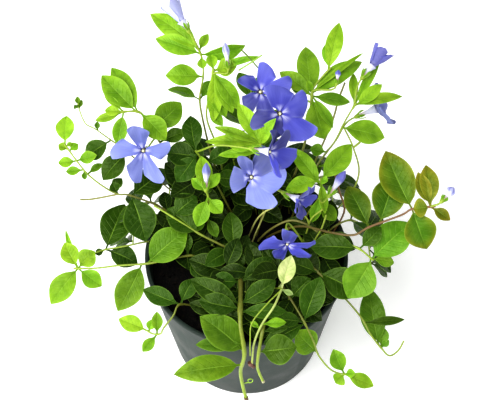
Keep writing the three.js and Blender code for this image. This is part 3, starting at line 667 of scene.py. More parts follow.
def joined(pieces: list[bpy.types.Object], name: str) -> bpy.types.Object:
    """Joins pieces into the first one.

    Args:
        pieces: the objects to join.
        name: the name of the piece they make.

    Returns:
        The joined piece.
    """
    deselect()
    for piece in pieces:
        piece.select_set(True)
    bpy.context.view_layer.objects.active = pieces[0]
    if len(pieces) > 1:
        bpy.ops.object.join()
    pieces[0].name = name
    pieces[0].data.name = name
    return pieces[0]


def coordinates(piece: bpy.types.Object) -> np.ndarray:
    """Reads a piece's vertices as rows of x, y and z."""
    flat = np.empty(len(piece.data.vertices) * 3, np.float32)
    piece.data.vertices.foreach_get("co", flat)
    return flat.reshape(-1, 3).astype(float)


def place(piece: bpy.types.Object, points: np.ndarray) -> None:
    """Writes a piece's vertices from rows of x, y and z."""
    piece.data.vertices.foreach_set("co", points.astype(np.float32).ravel())
    piece.data.update()


def tint(piece: bpy.types.Object, colours: np.ndarray) -> None:
    """Stores a colour for each vertex.

    Args:
        piece: the piece to colour.
        colours: linear RGBA, either one row for all vertices or one for each.
    """
    layer = piece.data.attributes.get(TINT_NAME)
    if layer is None:
        layer = piece.data.attributes.new(TINT_NAME, "FLOAT_COLOR", "POINT")
    rows = np.broadcast_to(colours, (len(piece.data.vertices), 4))
    layer.data.foreach_set("color", rows.astype(np.float32).ravel())


def map_blade(piece: bpy.types.Object, places: np.ndarray) -> None:
    """Stores where each vertex lies along and across its blade, as a UV map.

    Args:
        piece: the piece to map.
        places: for each vertex, its place along, 0 to 1 but less on a tube, and across, 0 to 1.
    """
    mesh = piece.data
    layer = mesh.uv_layers.get(UV_NAME) or mesh.uv_layers.new(name=UV_NAME)
    corners = np.empty(len(mesh.loops), np.int32)
    mesh.loops.foreach_get("vertex_index", corners)
    layer.data.foreach_set("uv", places[corners].astype(np.float32).ravel())


def copied(template: bpy.types.Object, name: str) -> bpy.types.Object:
    """Makes a copy of a piece, with a mesh of its own."""
    piece = bpy.data.objects.new(name, template.data.copy())
    bpy.context.scene.collection.objects.link(piece)
    return piece


def coat(piece: bpy.types.Object, *materials: bpy.types.Material) -> None:
    """Gives a piece its materials, in place of any that it has."""
    piece.data.materials.clear()
    for material in materials:
        piece.data.materials.append(material)


def finished(piece: bpy.types.Object, kind: str, **settings: object) -> bpy.types.Object:
    """Adds a modifier to a piece and applies it.

    Args:
        piece: the piece to finish.
        kind: the modifier's type.
        settings: the modifier's own properties.

    Returns:
        The same piece.
    """
    activate(piece)
    modifier = piece.modifiers.new(kind.lower(), kind)
    for key, value in settings.items():
        setattr(modifier, key, value)
    bpy.ops.object.modifier_apply(modifier=modifier.name)
    return piece


def smooth_shaded(piece: bpy.types.Object, angle: float = 60.0) -> bpy.types.Object:
    """Shades a piece smooth, except at edges sharper than an angle in degrees."""
    activate(piece)
    bpy.ops.object.shade_smooth_by_angle(angle=math.radians(angle))
    return piece


def thickened(
    sheets: list[bpy.types.Object], name: str, thickness: float,
    face: bpy.types.Material, back: bpy.types.Material,
) -> bpy.types.Object:
    """Joins open sheets and gives them their thickness.

    Args:
        sheets: the leaves or petals.
        name: the name of the piece they make.
        thickness: how thick they become, backwards, in millimetres.
        face: the material of their faces.
        back: the material of their backs.

    Returns:
        The joined piece.
    """
    piece = joined(sheets, name)
    coat(piece, face, back)
    finished(piece, "SOLIDIFY", thickness=thickness * MM, offset=-1.0, material_offset=1)
    return smooth_shaded(piece)


def hand_over(piece: bpy.types.Object, slot: str, *nodes: str) -> None:
    """Fixes a finished piece to the plant's body, hides the solids it stands for and logs its faces.
    """
    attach(piece, "root")
    if nodes:
        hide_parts(*nodes)
    log.info("%s: %d faces", piece.name, len(piece.data.polygons))


def spun(name: str, profile: list[Pair], steps: int) -> bpy.types.Object:
    """Spins an outline about the Z axis.

    Args:
        name: the name of the new piece.
        profile: radius and height of each point, in metres.
        steps: how many faces go round.

    Returns:
        The turned piece, its doubles merged and its faces pointing out.
    """
    deselect()
    bpy.ops.mesh.primitive_plane_add(size=MM)
    piece = bpy.context.object
    piece.name = name
    edit(piece)
    bpy.ops.mesh.delete(type="VERT")
    bpy.ops.object.mode_set(mode="OBJECT")
    mesh = piece.data
    mesh.vertices.add(len(profile))
    for vertex, (radius, height) in zip(mesh.vertices, profile):
        vertex.co = (radius, 0, height)
    mesh.edges.add(len(profile) - 1)
    for i, edge in enumerate(mesh.edges):
        edge.vertices = (i, i + 1)
    edit(piece)
    bpy.ops.mesh.spin(steps=steps, angle=FULL_TURN, center=(0, 0, 0), axis=(0, 0, 1))
    bpy.ops.mesh.select_all(action="SELECT")
    bpy.ops.mesh.remove_doubles(threshold=SAME_PLACE)
    bpy.ops.mesh.normals_make_consistent(inside=False)
    deselect()
    return piece


def tube(
    name: str, line: np.ndarray, radii: np.ndarray, colours: np.ndarray
) -> bpy.types.Object:
    """Makes a round, capped stem along a line.

    Args:
        name: the name of the new piece.
        line: points of its middle, in millimetres.
        radii: its radius at each point, in millimetres.
        colours: linear RGBA, either one row for all points or one for each.

    Returns:
        A mesh, with its place along and round it as a UV map.
    """
    shape = bpy.data.curves.new(name, "CURVE")
    shape.dimensions = "3D"
    shape.bevel_depth = MM
    shape.bevel_resolution = 2
    shape.use_fill_caps = True
    spline = shape.splines.new("POLY")
    spline.points.add(len(line) - 1)
    for point, at, radius in zip(spline.points, line, radii):
        point.co = (*(at * MM), 1)
        point.radius = radius
    piece = bpy.data.objects.new(name, shape)
    bpy.context.scene.collection.objects.link(piece)
    activate(piece)
    bpy.ops.object.convert(target="MESH")
    piece = bpy.context.object
    points = coordinates(piece) / MM
    nearest = np.argmin(((points[:, None] - line[None]) ** 2).sum(-1), 1)
    tint(piece, np.broadcast_to(colours, (len(line), 4))[nearest])
    along = nearest / max(1, len(line) - 1)
    offset = points - line[nearest]
    map_blade(piece, np.stack([along, 0.5 + 0.5 * np.sign(offset[:, 0])], 1))
    activate(piece)
    bpy.ops.object.shade_smooth()
    return piece


def fill(material: bpy.types.Material, node: bpy.types.Node, inputs: dict) -> None:
    """Links each input that is given a socket, and sets each that is given a plain value."""
    for key, value in inputs.items():
        if isinstance(value, bpy.types.NodeSocket):
            material.node_tree.links.new(value, node.inputs[key])
        else:
            node.inputs[key].default_value = value


def add_node(
    material: bpy.types.Material, kind: str, inputs: dict | None = None, **settings: object
) -> bpy.types.Node:
    """Adds a shader node with its settings and its inputs.

    Args:
        material: the material that takes the node.
        kind: the node's type, such as "ShaderNodeMath".
        inputs: by name or number, the output socket that feeds an input, or its plain value.
        settings: the node's own properties.

    Returns:
        The new node.
    """
    made = material.node_tree.nodes.new(kind)
    for key, value in settings.items():
        setattr(made, key, value)
    fill(material, made, inputs or {})
    return made


def math_node(
    material: bpy.types.Material, operation: str, first: object, second: object = 0.0
) -> bpy.types.NodeSocket:
    """Adds a Math node whose operands are sockets or plain numbers, and gives its output."""
    made = add_node(material, "ShaderNodeMath", {0: first, 1: second}, operation=operation)
    return made.outputs[0]


def product(material: bpy.types.Material, first: object, second: object) -> bpy.types.NodeSocket:
    """Multiplies two sockets, or a socket and a plain number."""
    return math_node(material, "MULTIPLY", first, second)


def ramp(
    material: bpy.types.Material, value: bpy.types.NodeSocket, between: Pair, gives: Pair = (0.0, 1.0)
) -> bpy.types.NodeSocket:
    """Eases from one number, where a value is low, to another, where it is high."""
    inputs = {
        "Value": value, "From Min": between[0], "From Max": between[1],
        "To Min": gives[0], "To Max": gives[1],
    }
    made = add_node(material, "ShaderNodeMapRange", inputs, interpolation_type="SMOOTHSTEP")
    return made.outputs["Result"]


def blend(
    material: bpy.types.Material, share: object, first: object, second: object, mode: str = "MIX"
) -> bpy.types.NodeSocket:
    """Mixes two colours by a share, each a socket or a plain value, and gives the output."""
    inputs = {0: share, 6: first, 7: second}
    made = add_node(material, "ShaderNodeMix", inputs, data_type="RGBA", blend_type=mode)
    return made.outputs[2]


def darkened(
    material: bpy.types.Material, share: bpy.types.NodeSocket, colour: bpy.types.NodeSocket,
    tone: Colour,
) -> bpy.types.NodeSocket:
    """Multiplies a colour by a darker tone, as far as a share says."""
    return blend(material, share, colour, blend(material, 1.0, colour, tone, "MULTIPLY"))


def noise(material: bpy.types.Material, size: float, detail: float = 3.0) -> bpy.types.NodeSocket:
    """Adds noise whose patches are about so many millimetres across, on Object coordinates."""
    where = add_node(material, "ShaderNodeTexCoord").outputs["Object"]
    scale = (1 / (size * MM),) * 3
    scaled = add_node(material, "ShaderNodeMapping", {"Vector": where, "Scale": scale}).outputs[0]
    inputs = {"Vector": scaled, "Scale": 1.0, "Detail": detail}
    return add_node(material, "ShaderNodeTexNoise", inputs).outputs["Fac"]


def stored_tint(material: bpy.types.Material) -> bpy.types.NodeSocket:
    """Gives the colour that is stored for each vertex."""
    return add_node(material, "ShaderNodeAttribute", attribute_name=TINT_NAME).outputs["Color"]


def blade_places(material: bpy.types.Material) -> tuple[bpy.types.NodeSocket, ...]:
    """Gives the place along a blade, the place across it, and how far off its midrib that is."""
    blade = add_node(material, "ShaderNodeUVMap", uv_map=UV_NAME).outputs[0]
    split = add_node(material, "ShaderNodeSeparateXYZ", {"Vector": blade})
    along, across = split.outputs[0], split.outputs[1]
    centred = math_node(material, "SUBTRACT", product(material, across, 2.0), 1.0)
    return along, across, math_node(material, "ABSOLUTE", centred)


def bump(
    material: bpy.types.Material, height: bpy.types.NodeSocket, depth: float
) -> bpy.types.NodeSocket:
    """Gives the normal of a surface raised by a height pattern, so many millimetres deep."""
    inputs = {"Height": height, "Strength": 1.0, "Distance": depth * MM}
    return add_node(material, "ShaderNodeBump", inputs).outputs[0]


@dataclass(frozen=True)
class Finish:
    """A material with one Principled shader, whose inputs each kind of finish gives."""

    name: str

    def inputs(self, material: bpy.types.Material) -> dict:
        """Gives the shader's inputs, each a socket or a plain value."""
        raise NotImplementedError

    def build(self) -> bpy.types.Material:
        """Builds the material.

        Returns:
            The finished material.
        """
        material = bpy.data.materials.new(self.name)
        material.use_nodes = True
        shader = next(n for n in material.node_tree.nodes if n.type == "BSDF_PRINCIPLED")
        fill(material, shader, self.inputs(material))
        return material


@dataclass(frozen=True)
class LeafCuticle(Finish):
    """Waxy upper face of an evergreen leaf: a satin gloss over a pale midrib and fine side veins."""

    name: str = "waxy_leaf_cuticle"
    rib: str = "#A3CC4E"
    rib_edge: Pair = (0.01, 0.06)
    rib_reach: Pair = (0.15, 0.95)
    rib_ends: Pair = (1.0, 0.2)
    rib_strength: float = 0.36
    veins: float = 8.0
    slant: float = 1.7
    vein_edge: Pair = (0.0, 0.12)
    vein_reach: Pair = (0.55, 0.95)
    vein_strength: float = 0.06
    patch_size: float = 6.0
    patch_edge: Pair = (0.3, 0.7)
    patch_tone: Colour = (0.6, 0.7, 0.5, 1)
    # Painted shade: how far from the midrib, how strongly and in what tone the blade is darkened along
    # its fold
    fold_shade_reach: Pair = (0.0, 0.5)
    fold_shade_strength: Pair = (0.35, 0.0)
    fold_shade_tone: Colour = (0.62, 0.72, 0.55, 1)
    margin_reach: Pair = (0.88, 1.0)
    margin_strength: Pair = (0.0, 0.18)
    grain_size: float = 0.7
    grain_edge: Pair = (0.2, 0.8)
    roughness: Pair = (0.24, 0.4)
    gloss: float = 0.22
    gloss_tint: Colour = (0.75, 1.0, 0.4, 1)
    pucker_size: float = 2.6
    grain_relief: float = 0.2
    rib_relief: float = 0.4
    vein_relief: float = 0.3
    relief: float = 0.42

    def inputs(self, material: bpy.types.Material) -> dict:
        """Gives its shader's inputs."""
        along, _, off = blade_places(material)
        pale = linear(self.rib)
        midrib = product(
            material, ramp(material, off, self.rib_edge, FADE),
            ramp(material, along, self.rib_reach, self.rib_ends),
        )
        rows = math_node(
            material, "SUBTRACT", product(material, along, self.veins),
            product(material, off, self.slant),
        )
        nearest = math_node(material, "PINGPONG", rows, 0.5)
        vein = product(
            material, ramp(material, nearest, self.vein_edge, FADE),
            ramp(material, off, self.vein_reach, FADE),
        )
        grain = noise(material, self.grain_size, 2.0)
        patches = ramp(material, noise(material, self.patch_size), self.patch_edge)
        mottled = darkened(material, patches, stored_tint(material), self.patch_tone)
        # Painted shade in the fold along the midrib
        fold_shade = ramp(material, off, self.fold_shade_reach, self.fold_shade_strength)
        shaded = darkened(material, fold_shade, mottled, self.fold_shade_tone)
        margin = ramp(material, off, self.margin_reach, self.margin_strength)
        edged = blend(material, margin, shaded, pale)
        veined = blend(material, product(material, vein, self.vein_strength), edged, pale)
        ribbed = blend(material, product(material, midrib, self.rib_strength), veined, pale)
        puckers = math_node(
            material, "ADD", noise(material, self.pucker_size, 1.0),
            product(material, grain, self.grain_relief),
        )
        grooves = math_node(
            material, "ADD", product(material, midrib, self.rib_relief),
            product(material, vein, self.vein_relief),
        )
        height = math_node(material, "SUBTRACT", puckers, grooves)
        return {
            "Base Color": ribbed,
            "Roughness": ramp(material, grain, self.grain_edge, self.roughness),
            "Specular IOR Level": self.gloss,
            "Specular Tint": self.gloss_tint,
            "Normal": bump(material, height, self.relief),
        }


@dataclass(frozen=True)
class LeafUnderside(Finish):
    """Matt lower face of a leaf: paler, with a raised midrib."""

    name: str = "matt_leaf_underside"
    pale: str = "#C4DC8C"
    wash: float = 0.4
    rib_edge: Pair = (0.03, 0.12)
    rib_strength: float = 0.5
    grain_size: float = 0.9
    relief: float = 0.12
    roughness: float = 0.6

    def inputs(self, material: bpy.types.Material) -> dict:
        """Gives its shader's inputs."""
        _, _, off = blade_places(material)
        midrib = ramp(material, off, self.rib_edge, FADE)
        washed = blend(material, self.wash, stored_tint(material), linear(self.pale))
        rib = product(material, midrib, self.rib_strength)
        height = math_node(material, "ADD", midrib, noise(material, self.grain_size))
        return {
            "Base Color": blend(material, rib, washed, linear(self.pale)),
            "Roughness": self.roughness,
            "Normal": bump(material, height, self.relief),
        }


@dataclass(frozen=True)
class StemBark(Finish):
    """Skin of a young stem, faintly mottled and a little shiny."""

    name: str = "young_stem_skin"
    mottle_size: float = 1.2
    mottle_edge: Pair = (0.35, 0.7)
    mottle_strength: Pair = (0.0, 0.55)
    mottle_tone: Colour = (0.62, 0.6, 0.5, 1)
    relief: float = 0.1
    roughness: float = 0.45

    def inputs(self, material: bpy.types.Material) -> dict:
        """Gives its shader's inputs."""
        mottle = noise(material, self.mottle_size)
        share = ramp(material, mottle, self.mottle_edge, self.mottle_strength)
        return {
            "Base Color": darkened(material, share, stored_tint(material), self.mottle_tone),
            "Roughness": self.roughness,
            "Normal": bump(material, mottle, self.relief),
        }


@dataclass(frozen=True)
class PetalSkin(Finish):
    """Velvety petal: streaked, darker inwards, with pale edges, a white star and a cream heart."""

    name: str = "velvety_petal"
    heart: str = "#EDE9B0"
    heart_reach: Pair = (0.05, 0.12)
    star: str = "#DCDDF8"
    star_half: Pair = (0.1, 0.6)
    star_streaks: Pair = (0.3, 0.6)
    star_gaps: Pair = (0.3, 1.0)
    star_reach: Pair = (0.2, 0.44)
    star_strength: Pair = (0.75, 0.0)
    deep: str = "#33319A"
    throat_reach: Pair = (0.13, 0.2)
    throat_strength: Pair = (0.75, 0.0)
    ring_reach: Pair = (0.24, 0.56)
    ring_strength: Pair = (0.8, 0.0)
    ring_depth: float = 0.5
    edge: str = "#ABB3E4"
    tip_reach: Pair = (0.5, 1.0)
    tip_strength: Pair = (0.0, 0.08)
    side_reach: Pair = (0.78, 1.0)
    side_strength: Pair = (0.0, 0.14)
    streaks_across: float = 26.0
    streaks_along: float = 2.2
    streak_edge: Pair = (0.42, 0.72)
    streak_strength: Pair = (0.0, 0.4)
    streak_depth: float = 0.35
    relief: float = 0.08
    roughness: float = 0.55
    sheen: float = 0.08
    sheen_roughness: float = 0.4

    def inputs(self, material: bpy.types.Material) -> dict:
        """Gives its shader's inputs."""
        colour, deep = stored_tint(material), linear(self.deep)
        along, across, off = blade_places(material)
        lines = add_node(material, "ShaderNodeCombineXYZ", {
            0: product(material, across, self.streaks_across),
            1: product(material, along, self.streaks_along),
        })
        inputs = {"Vector": lines.outputs[0], "Scale": 1.0, "Detail": 2.0}
        streak = add_node(material, "ShaderNodeTexNoise", inputs).outputs["Fac"]
        rim = math_node(
            material, "ADD", ramp(material, along, self.tip_reach, self.tip_strength),
            ramp(material, off, self.side_reach, self.side_strength),
        )
        lighter = blend(material, rim, colour, linear(self.edge))
        streaked = blend(
            material, ramp(material, streak, self.streak_edge, self.streak_strength), lighter,
            blend(material, self.streak_depth, colour, deep),
        )
        ringed = blend(
            material, ramp(material, along, self.ring_reach, self.ring_strength), streaked,
            blend(material, self.ring_depth, colour, deep),
        )
        middle = product(
            material, ramp(material, off, self.star_half, FADE),
            ramp(material, streak, self.star_streaks, self.star_gaps),
        )
        star = product(material, middle, ramp(material, along, self.star_reach, self.star_strength))
        starred = blend(material, star, ringed, linear(self.star))
        throat = ramp(material, along, self.throat_reach, self.throat_strength)
        inner = blend(material, throat, starred, deep)
        heart = ramp(material, along, self.heart_reach, FADE)
        return {
            "Base Color": blend(material, heart, inner, linear(self.heart)),
            "Roughness": self.roughness,
            "Sheen Weight": self.sheen,
            "Sheen Roughness": self.sheen_roughness,
            "Normal": bump(material, streak, self.relief),
        }


@dataclass(frozen=True)
class PetalBack(Finish):
    """Outside of a corolla: paler, washed towards white at the tube and brownish at its foot."""

    name: str = "corolla_outside"
    white: str = "#E4E3F6"
    white_reach: Pair = (-0.3, 0.4)
    white_strength: Pair = (0.8, 0.1)
    foot: str = "#B89A8C"
    foot_reach: Pair = (-1.0, -0.45)
    foot_strength: Pair = (0.85, 0.0)
    patch_size: float = 0.8
    patch_edge: Pair = (0.4, 0.75)
    patch_strength: Pair = (0.0, 0.4)
    patch_tone: Colour = (0.7, 0.7, 0.86, 1)
    relief: float = 0.06
    roughness: float = 0.6

    def inputs(self, material: bpy.types.Material) -> dict:
        """Gives its shader's inputs."""
        along, _, _ = blade_places(material)
        white = ramp(material, along, self.white_reach, self.white_strength)
        washed = blend(material, white, stored_tint(material), linear(self.white))
        foot = ramp(material, along, self.foot_reach, self.foot_strength)
        footed = blend(material, foot, washed, linear(self.foot))
        patches = noise(material, self.patch_size, 2.0)
        share = ramp(material, patches, self.patch_edge, self.patch_strength)
        return {
            "Base Color": darkened(material, share, footed, self.patch_tone),
            "Roughness": self.roughness,
            "Normal": bump(material, patches, self.relief),
        }


@dataclass(frozen=True)
class RecycledPolypropylene(Finish):
    """Recycled plastic: dark grey-green, satin, faintly clouded and specked with dust."""

    name: str = "recycled_polypropylene"
    colour: str = "#222C26"
    cloud: str = "#2A3630"
    cloud_size: float = 18.0
    cloud_edge: Pair = (0.35, 0.7)
    dust: str = "#42473F"
    speck_size: float = 2.2
    speck_edge: Pair = (0.62, 0.72)
    speck_strength: Pair = (0.0, 0.35)
    grain_size: float = 0.5
    relief: float = 0.04
    rough_edge: Pair = (0.3, 0.7)
    roughness: Pair = (0.45, 0.58)
    gloss: float = 0.14

    def inputs(self, material: bpy.types.Material) -> dict:
        """Gives its shader's inputs."""
        clouds = noise(material, self.cloud_size, 4.0)
        cloudy = ramp(material, clouds, self.cloud_edge)
        base = blend(material, cloudy, linear(self.colour), linear(self.cloud))
        dust = noise(material, self.speck_size, 5.0)
        specks = ramp(material, dust, self.speck_edge, self.speck_strength)
        return {
            "Base Color": blend(material, specks, base, linear(self.dust)),
            "Roughness": ramp(material, clouds, self.rough_edge, self.roughness),
            "Specular IOR Level": self.gloss,
            "Normal": bump(material, noise(material, self.grain_size, 2.0), self.relief),
        }


@dataclass(frozen=True)
class MoistPeat(Finish):
    """Moist peat: nearly black, crumbly and almost without gloss."""

    name: str = "moist_peat"
    dark: str = "#060504"
    light: str = "#17110C"
    clod_size: float = 2.5
    clod_edge: Pair = (0.45, 0.75)
    relief: float = 0.8
    roughness: float = 0.95
    gloss: float = 0.2

    def inputs(self, material: bpy.types.Material) -> dict:
        """Gives its shader's inputs."""
        clods = noise(material, self.clod_size, 6.0)
        share = ramp(material, clods, self.clod_edge)
        return {
            "Base Color": blend(material, share, linear(self.dark), linear(self.light)),
            "Roughness": self.roughness,
            "Specular IOR Level": self.gloss,
            "Normal": bump(material, clods, self.relief),
        }


@dataclass(frozen=True)
class PlainPaint(Finish):
    """Matt white paint of one tone, glowing faintly like a light table, for the floor."""

    name: str = "matt_floor_paint"
    colour: str = "#FFFFFF"
    roughness: float = 0.9
    gloss: float = 0.1
    glow: float = 0.22

    def inputs(self, material: bpy.types.Material) -> dict:
        """Gives its shader's inputs."""
        return {
            "Base Color": linear(self.colour),
            "Roughness": self.roughness,
            "Specular IOR Level": self.gloss,
            "Emission Color": linear(self.colour),
            "Emission Strength": self.glow,
        }


@dataclass
class Finishes:
    """The plant's materials, each built once."""

    cuticle: bpy.types.Material = field(default_factory=lambda: LeafCuticle().build())
    underside: bpy.types.Material = field(default_factory=lambda: LeafUnderside().build())
    stem: bpy.types.Material = field(default_factory=lambda: StemBark().build())
    petal: bpy.types.Material = field(default_factory=lambda: PetalSkin().build())
    petal_back: bpy.types.Material = field(default_factory=lambda: PetalBack().build())
    plastic: bpy.types.Material = field(default_factory=lambda: RecycledPolypropylene().build())
    peat: bpy.types.Material = field(default_factory=lambda: MoistPeat().build())


class StemLine:
    """A stem's smooth line, out of the soil and through its points, in millimetres."""

    def __init__(self, points: list[Point], rooted: bool = True) -> None:
        """Prepares the line.

        Args:
            points: the stem's points from the soil to its tip.
            rooted: whether it goes on down into the soil.
        """
        knots = np.array(points, float)
        if rooted:
            lean = (knots[1] - knots[0]) * (1, 1, 0)
            lean *= min(1.0, ROOT_LEAN / max(np.linalg.norm(lean), 1e-6))
            root = knots[0] - lean
            root[2] = ROOT_HEIGHT
            knots = np.vstack([root, knots])
        self.knots = np.vstack([2 * knots[0] - knots[1], knots, 2 * knots[-1] - knots[-2]])
        self.spans = len(knots) - 1

    def at(self, place: np.ndarray) -> np.ndarray:
        """Gives points of the line at places from 0, its root, to the number of its spans."""
        place = np.atleast_1d(np.clip(place, 0, self.spans - 1e-9))
        span = place.astype(int)
        w = (place - span)[:, None]
        p0, p1, p2, p3 = (self.knots[span + k] for k in range(4))
        t0, t1 = 0.5 * (p2 - p0), 0.5 * (p3 - p1)
        square = -3 * p1 + 3 * p2 - 2 * t0 - t1
        return p1 + t0 * w + square * w**2 + (2 * p1 - 2 * p2 + t0 + t1) * w**3

    def place_of(self, percent: float | np.ndarray) -> float | np.ndarray:
        """Turns percent of the stem above the soil into a place along the line."""
        return 1 + np.minimum(percent, TIP_PERCENT) / 100 * (self.spans - 1)

    def joint(self, percent: float) -> np.ndarray:
        """Gives the point where a leaf or a flower stalk grows."""
        return self.at(self.place_of(percent))[0]


@dataclass
class LeafMould:
    """One flat leaf, made once, that every leaf of the plant is a bent copy of."""

    thickness: float = 0.3
    widest: float = 0.94
    blunt_root: float = 0.62
    blunt_tip: float = 0.86
    neck_most: float = 0.2
    petiole: float = 3.0
    petiole_half: float = 0.42
    arch: float = 0.06
    fold: float = 0.22
    fold_blunt: float = 0.03
    margin_fall: float = 0.1
    margin_reach: Pair = (0.6, 1.0)
    groove: float = 0.14
    groove_half: float = 0.45
    groove_reach: Pair = (0.05, 0.2)
    wave: Pair = (0.2, 0.55)
    waves: Pair = (1.2, 2.2)
    wave_offset: float = 1.3
    wave_half: float = 6
    curl: Pair = (-0.02, 0.035)
    curl_reach: Pair = (0.55, 1.0)
    sway: Pair = (-0.03, 0.03)
    flush_sides: float = 0.45
    flush_tip: float = 0.4
    flush_tip_reach: Pair = (0.7, 1)
    flush_root: float = 0.5
    flush_root_reach: Pair = (0.12, 0)
    flush_most: float = 0.7
    rows: int = 15
    row_crowding: float = 0.9
    columns: tuple[float, ...] = (-1, -0.86, -0.6, -0.3, -0.07, 0, 0.07, 0.3, 0.6, 0.86, 1)
    template: bpy.types.Object | None = None

    def build(self) -> None:
        """Makes the flat template: x along the leaf and y across it, both without size."""
        deselect()
        bpy.ops.mesh.primitive_grid_add(
            x_subdivisions=self.rows, y_subdivisions=len(self.columns) - 1, size=1,
            location=(0.5, 0, 0),
        )
        leaf = bpy.context.object
        leaf.name = "leaf_mould"
        bpy.ops.object.transform_apply(location=True)
        points = coordinates(leaf)
        column = np.rint((points[:, 1] + 0.5) * (len(self.columns) - 1)).astype(int)
        points[:, 1] = np.array(self.columns)[column]
        points[:, 0] = points[:, 0] ** self.row_crowding
        points[points[:, 0] > 0.999, 1] = 0
        place(leaf, points)
        edit(leaf)
        bpy.ops.mesh.remove_doubles(threshold=SAME_PLACE)
        deselect()
        self.template = leaf

    def outline(self, s: np.ndarray) -> np.ndarray:
        """Gives the blade's half width, 0 to 1, along it."""
        s = np.clip(s, 0, 1)
        blunt = self.blunt_root + (self.blunt_tip - self.blunt_root) * s
        return np.sin(math.pi * s**self.widest) ** blunt

    def bent(
        self, root: np.ndarray, leaf: Leaf, light: np.ndarray, colour: np.ndarray,
        flush: np.ndarray, random: np.random.Generator,
    ) -> bpy.types.Object:
        """Makes one leaf.

        Args:
            root: where its stalk meets the stem, in millimetres.
            leaf: its angles and sizes.
            light: the direction that its upper face turns to.
            colour: its linear RGBA.
            flush: what its margin and tip turn to, also linear RGBA.
            random: the source of its small differences.

        Returns:
            The leaf as an open sheet, one face thick.
        """
        piece = copied(self.template, "leaf")
        flat = coordinates(piece)
        u, v = flat[:, 0], flat[:, 1]
        map_blade(piece, np.stack([u, v * 0.5 + 0.5], 1))
        share = (
            self.flush_sides * np.abs(v) ** 3 + self.flush_tip * smooth(*self.flush_tip_reach, u)
            + self.flush_root * smooth(*self.flush_root_reach, u)
        )
        share = np.clip(share, 0, self.flush_most)[:, None]
        tint(piece, colour * (1 - share) + flush * share)
        axis = direction(leaf.turn, leaf.lift)
        side = turned_about(unit(np.cross(light, axis)), axis, math.radians(leaf.roll))
        length = leaf.length
        neck = min(self.neck_most, self.petiole / length)
        blade = self.outline((u - neck) / (1 - neck)) * (leaf.width / 2)
        half = np.maximum(blade, self.petiole_half * np.clip((1 - u) * 6, 0, 1))
        across = v * half
        wave, phase = random.uniform(*self.wave), random.uniform(0, FULL_TURN)
        turns = random.uniform(*self.waves)
        waved = np.sin(FULL_TURN * turns * u + phase + self.wave_offset * np.sign(v))
        ripple = wave * waved * v**2 * half / self.wave_half
        curl = random.uniform(*self.curl) * length * smooth(*self.curl_reach, u)
        folded = np.sqrt(v**2 + self.fold_blunt) - math.sqrt(self.fold_blunt)
        margin = self.margin_fall * smooth(*self.margin_reach, np.abs(v))
        groove = self.groove * np.exp(-((across / self.groove_half) ** 2))
        groove *= smooth(*self.groove_reach, u)
        rise = (
            self.arch * length * 4 * u * (1 - u) + self.fold * half * (folded - margin)
            + ripple - curl - groove
        )
        spread = across + random.uniform(*self.sway) * length * 4 * u * (1 - u)
        points = (
            root + np.outer(u * length, axis) + spread[:, None] * side
            + rise[:, None] * np.cross(axis, side)
        )
        place(piece, points * MM)
        return piece


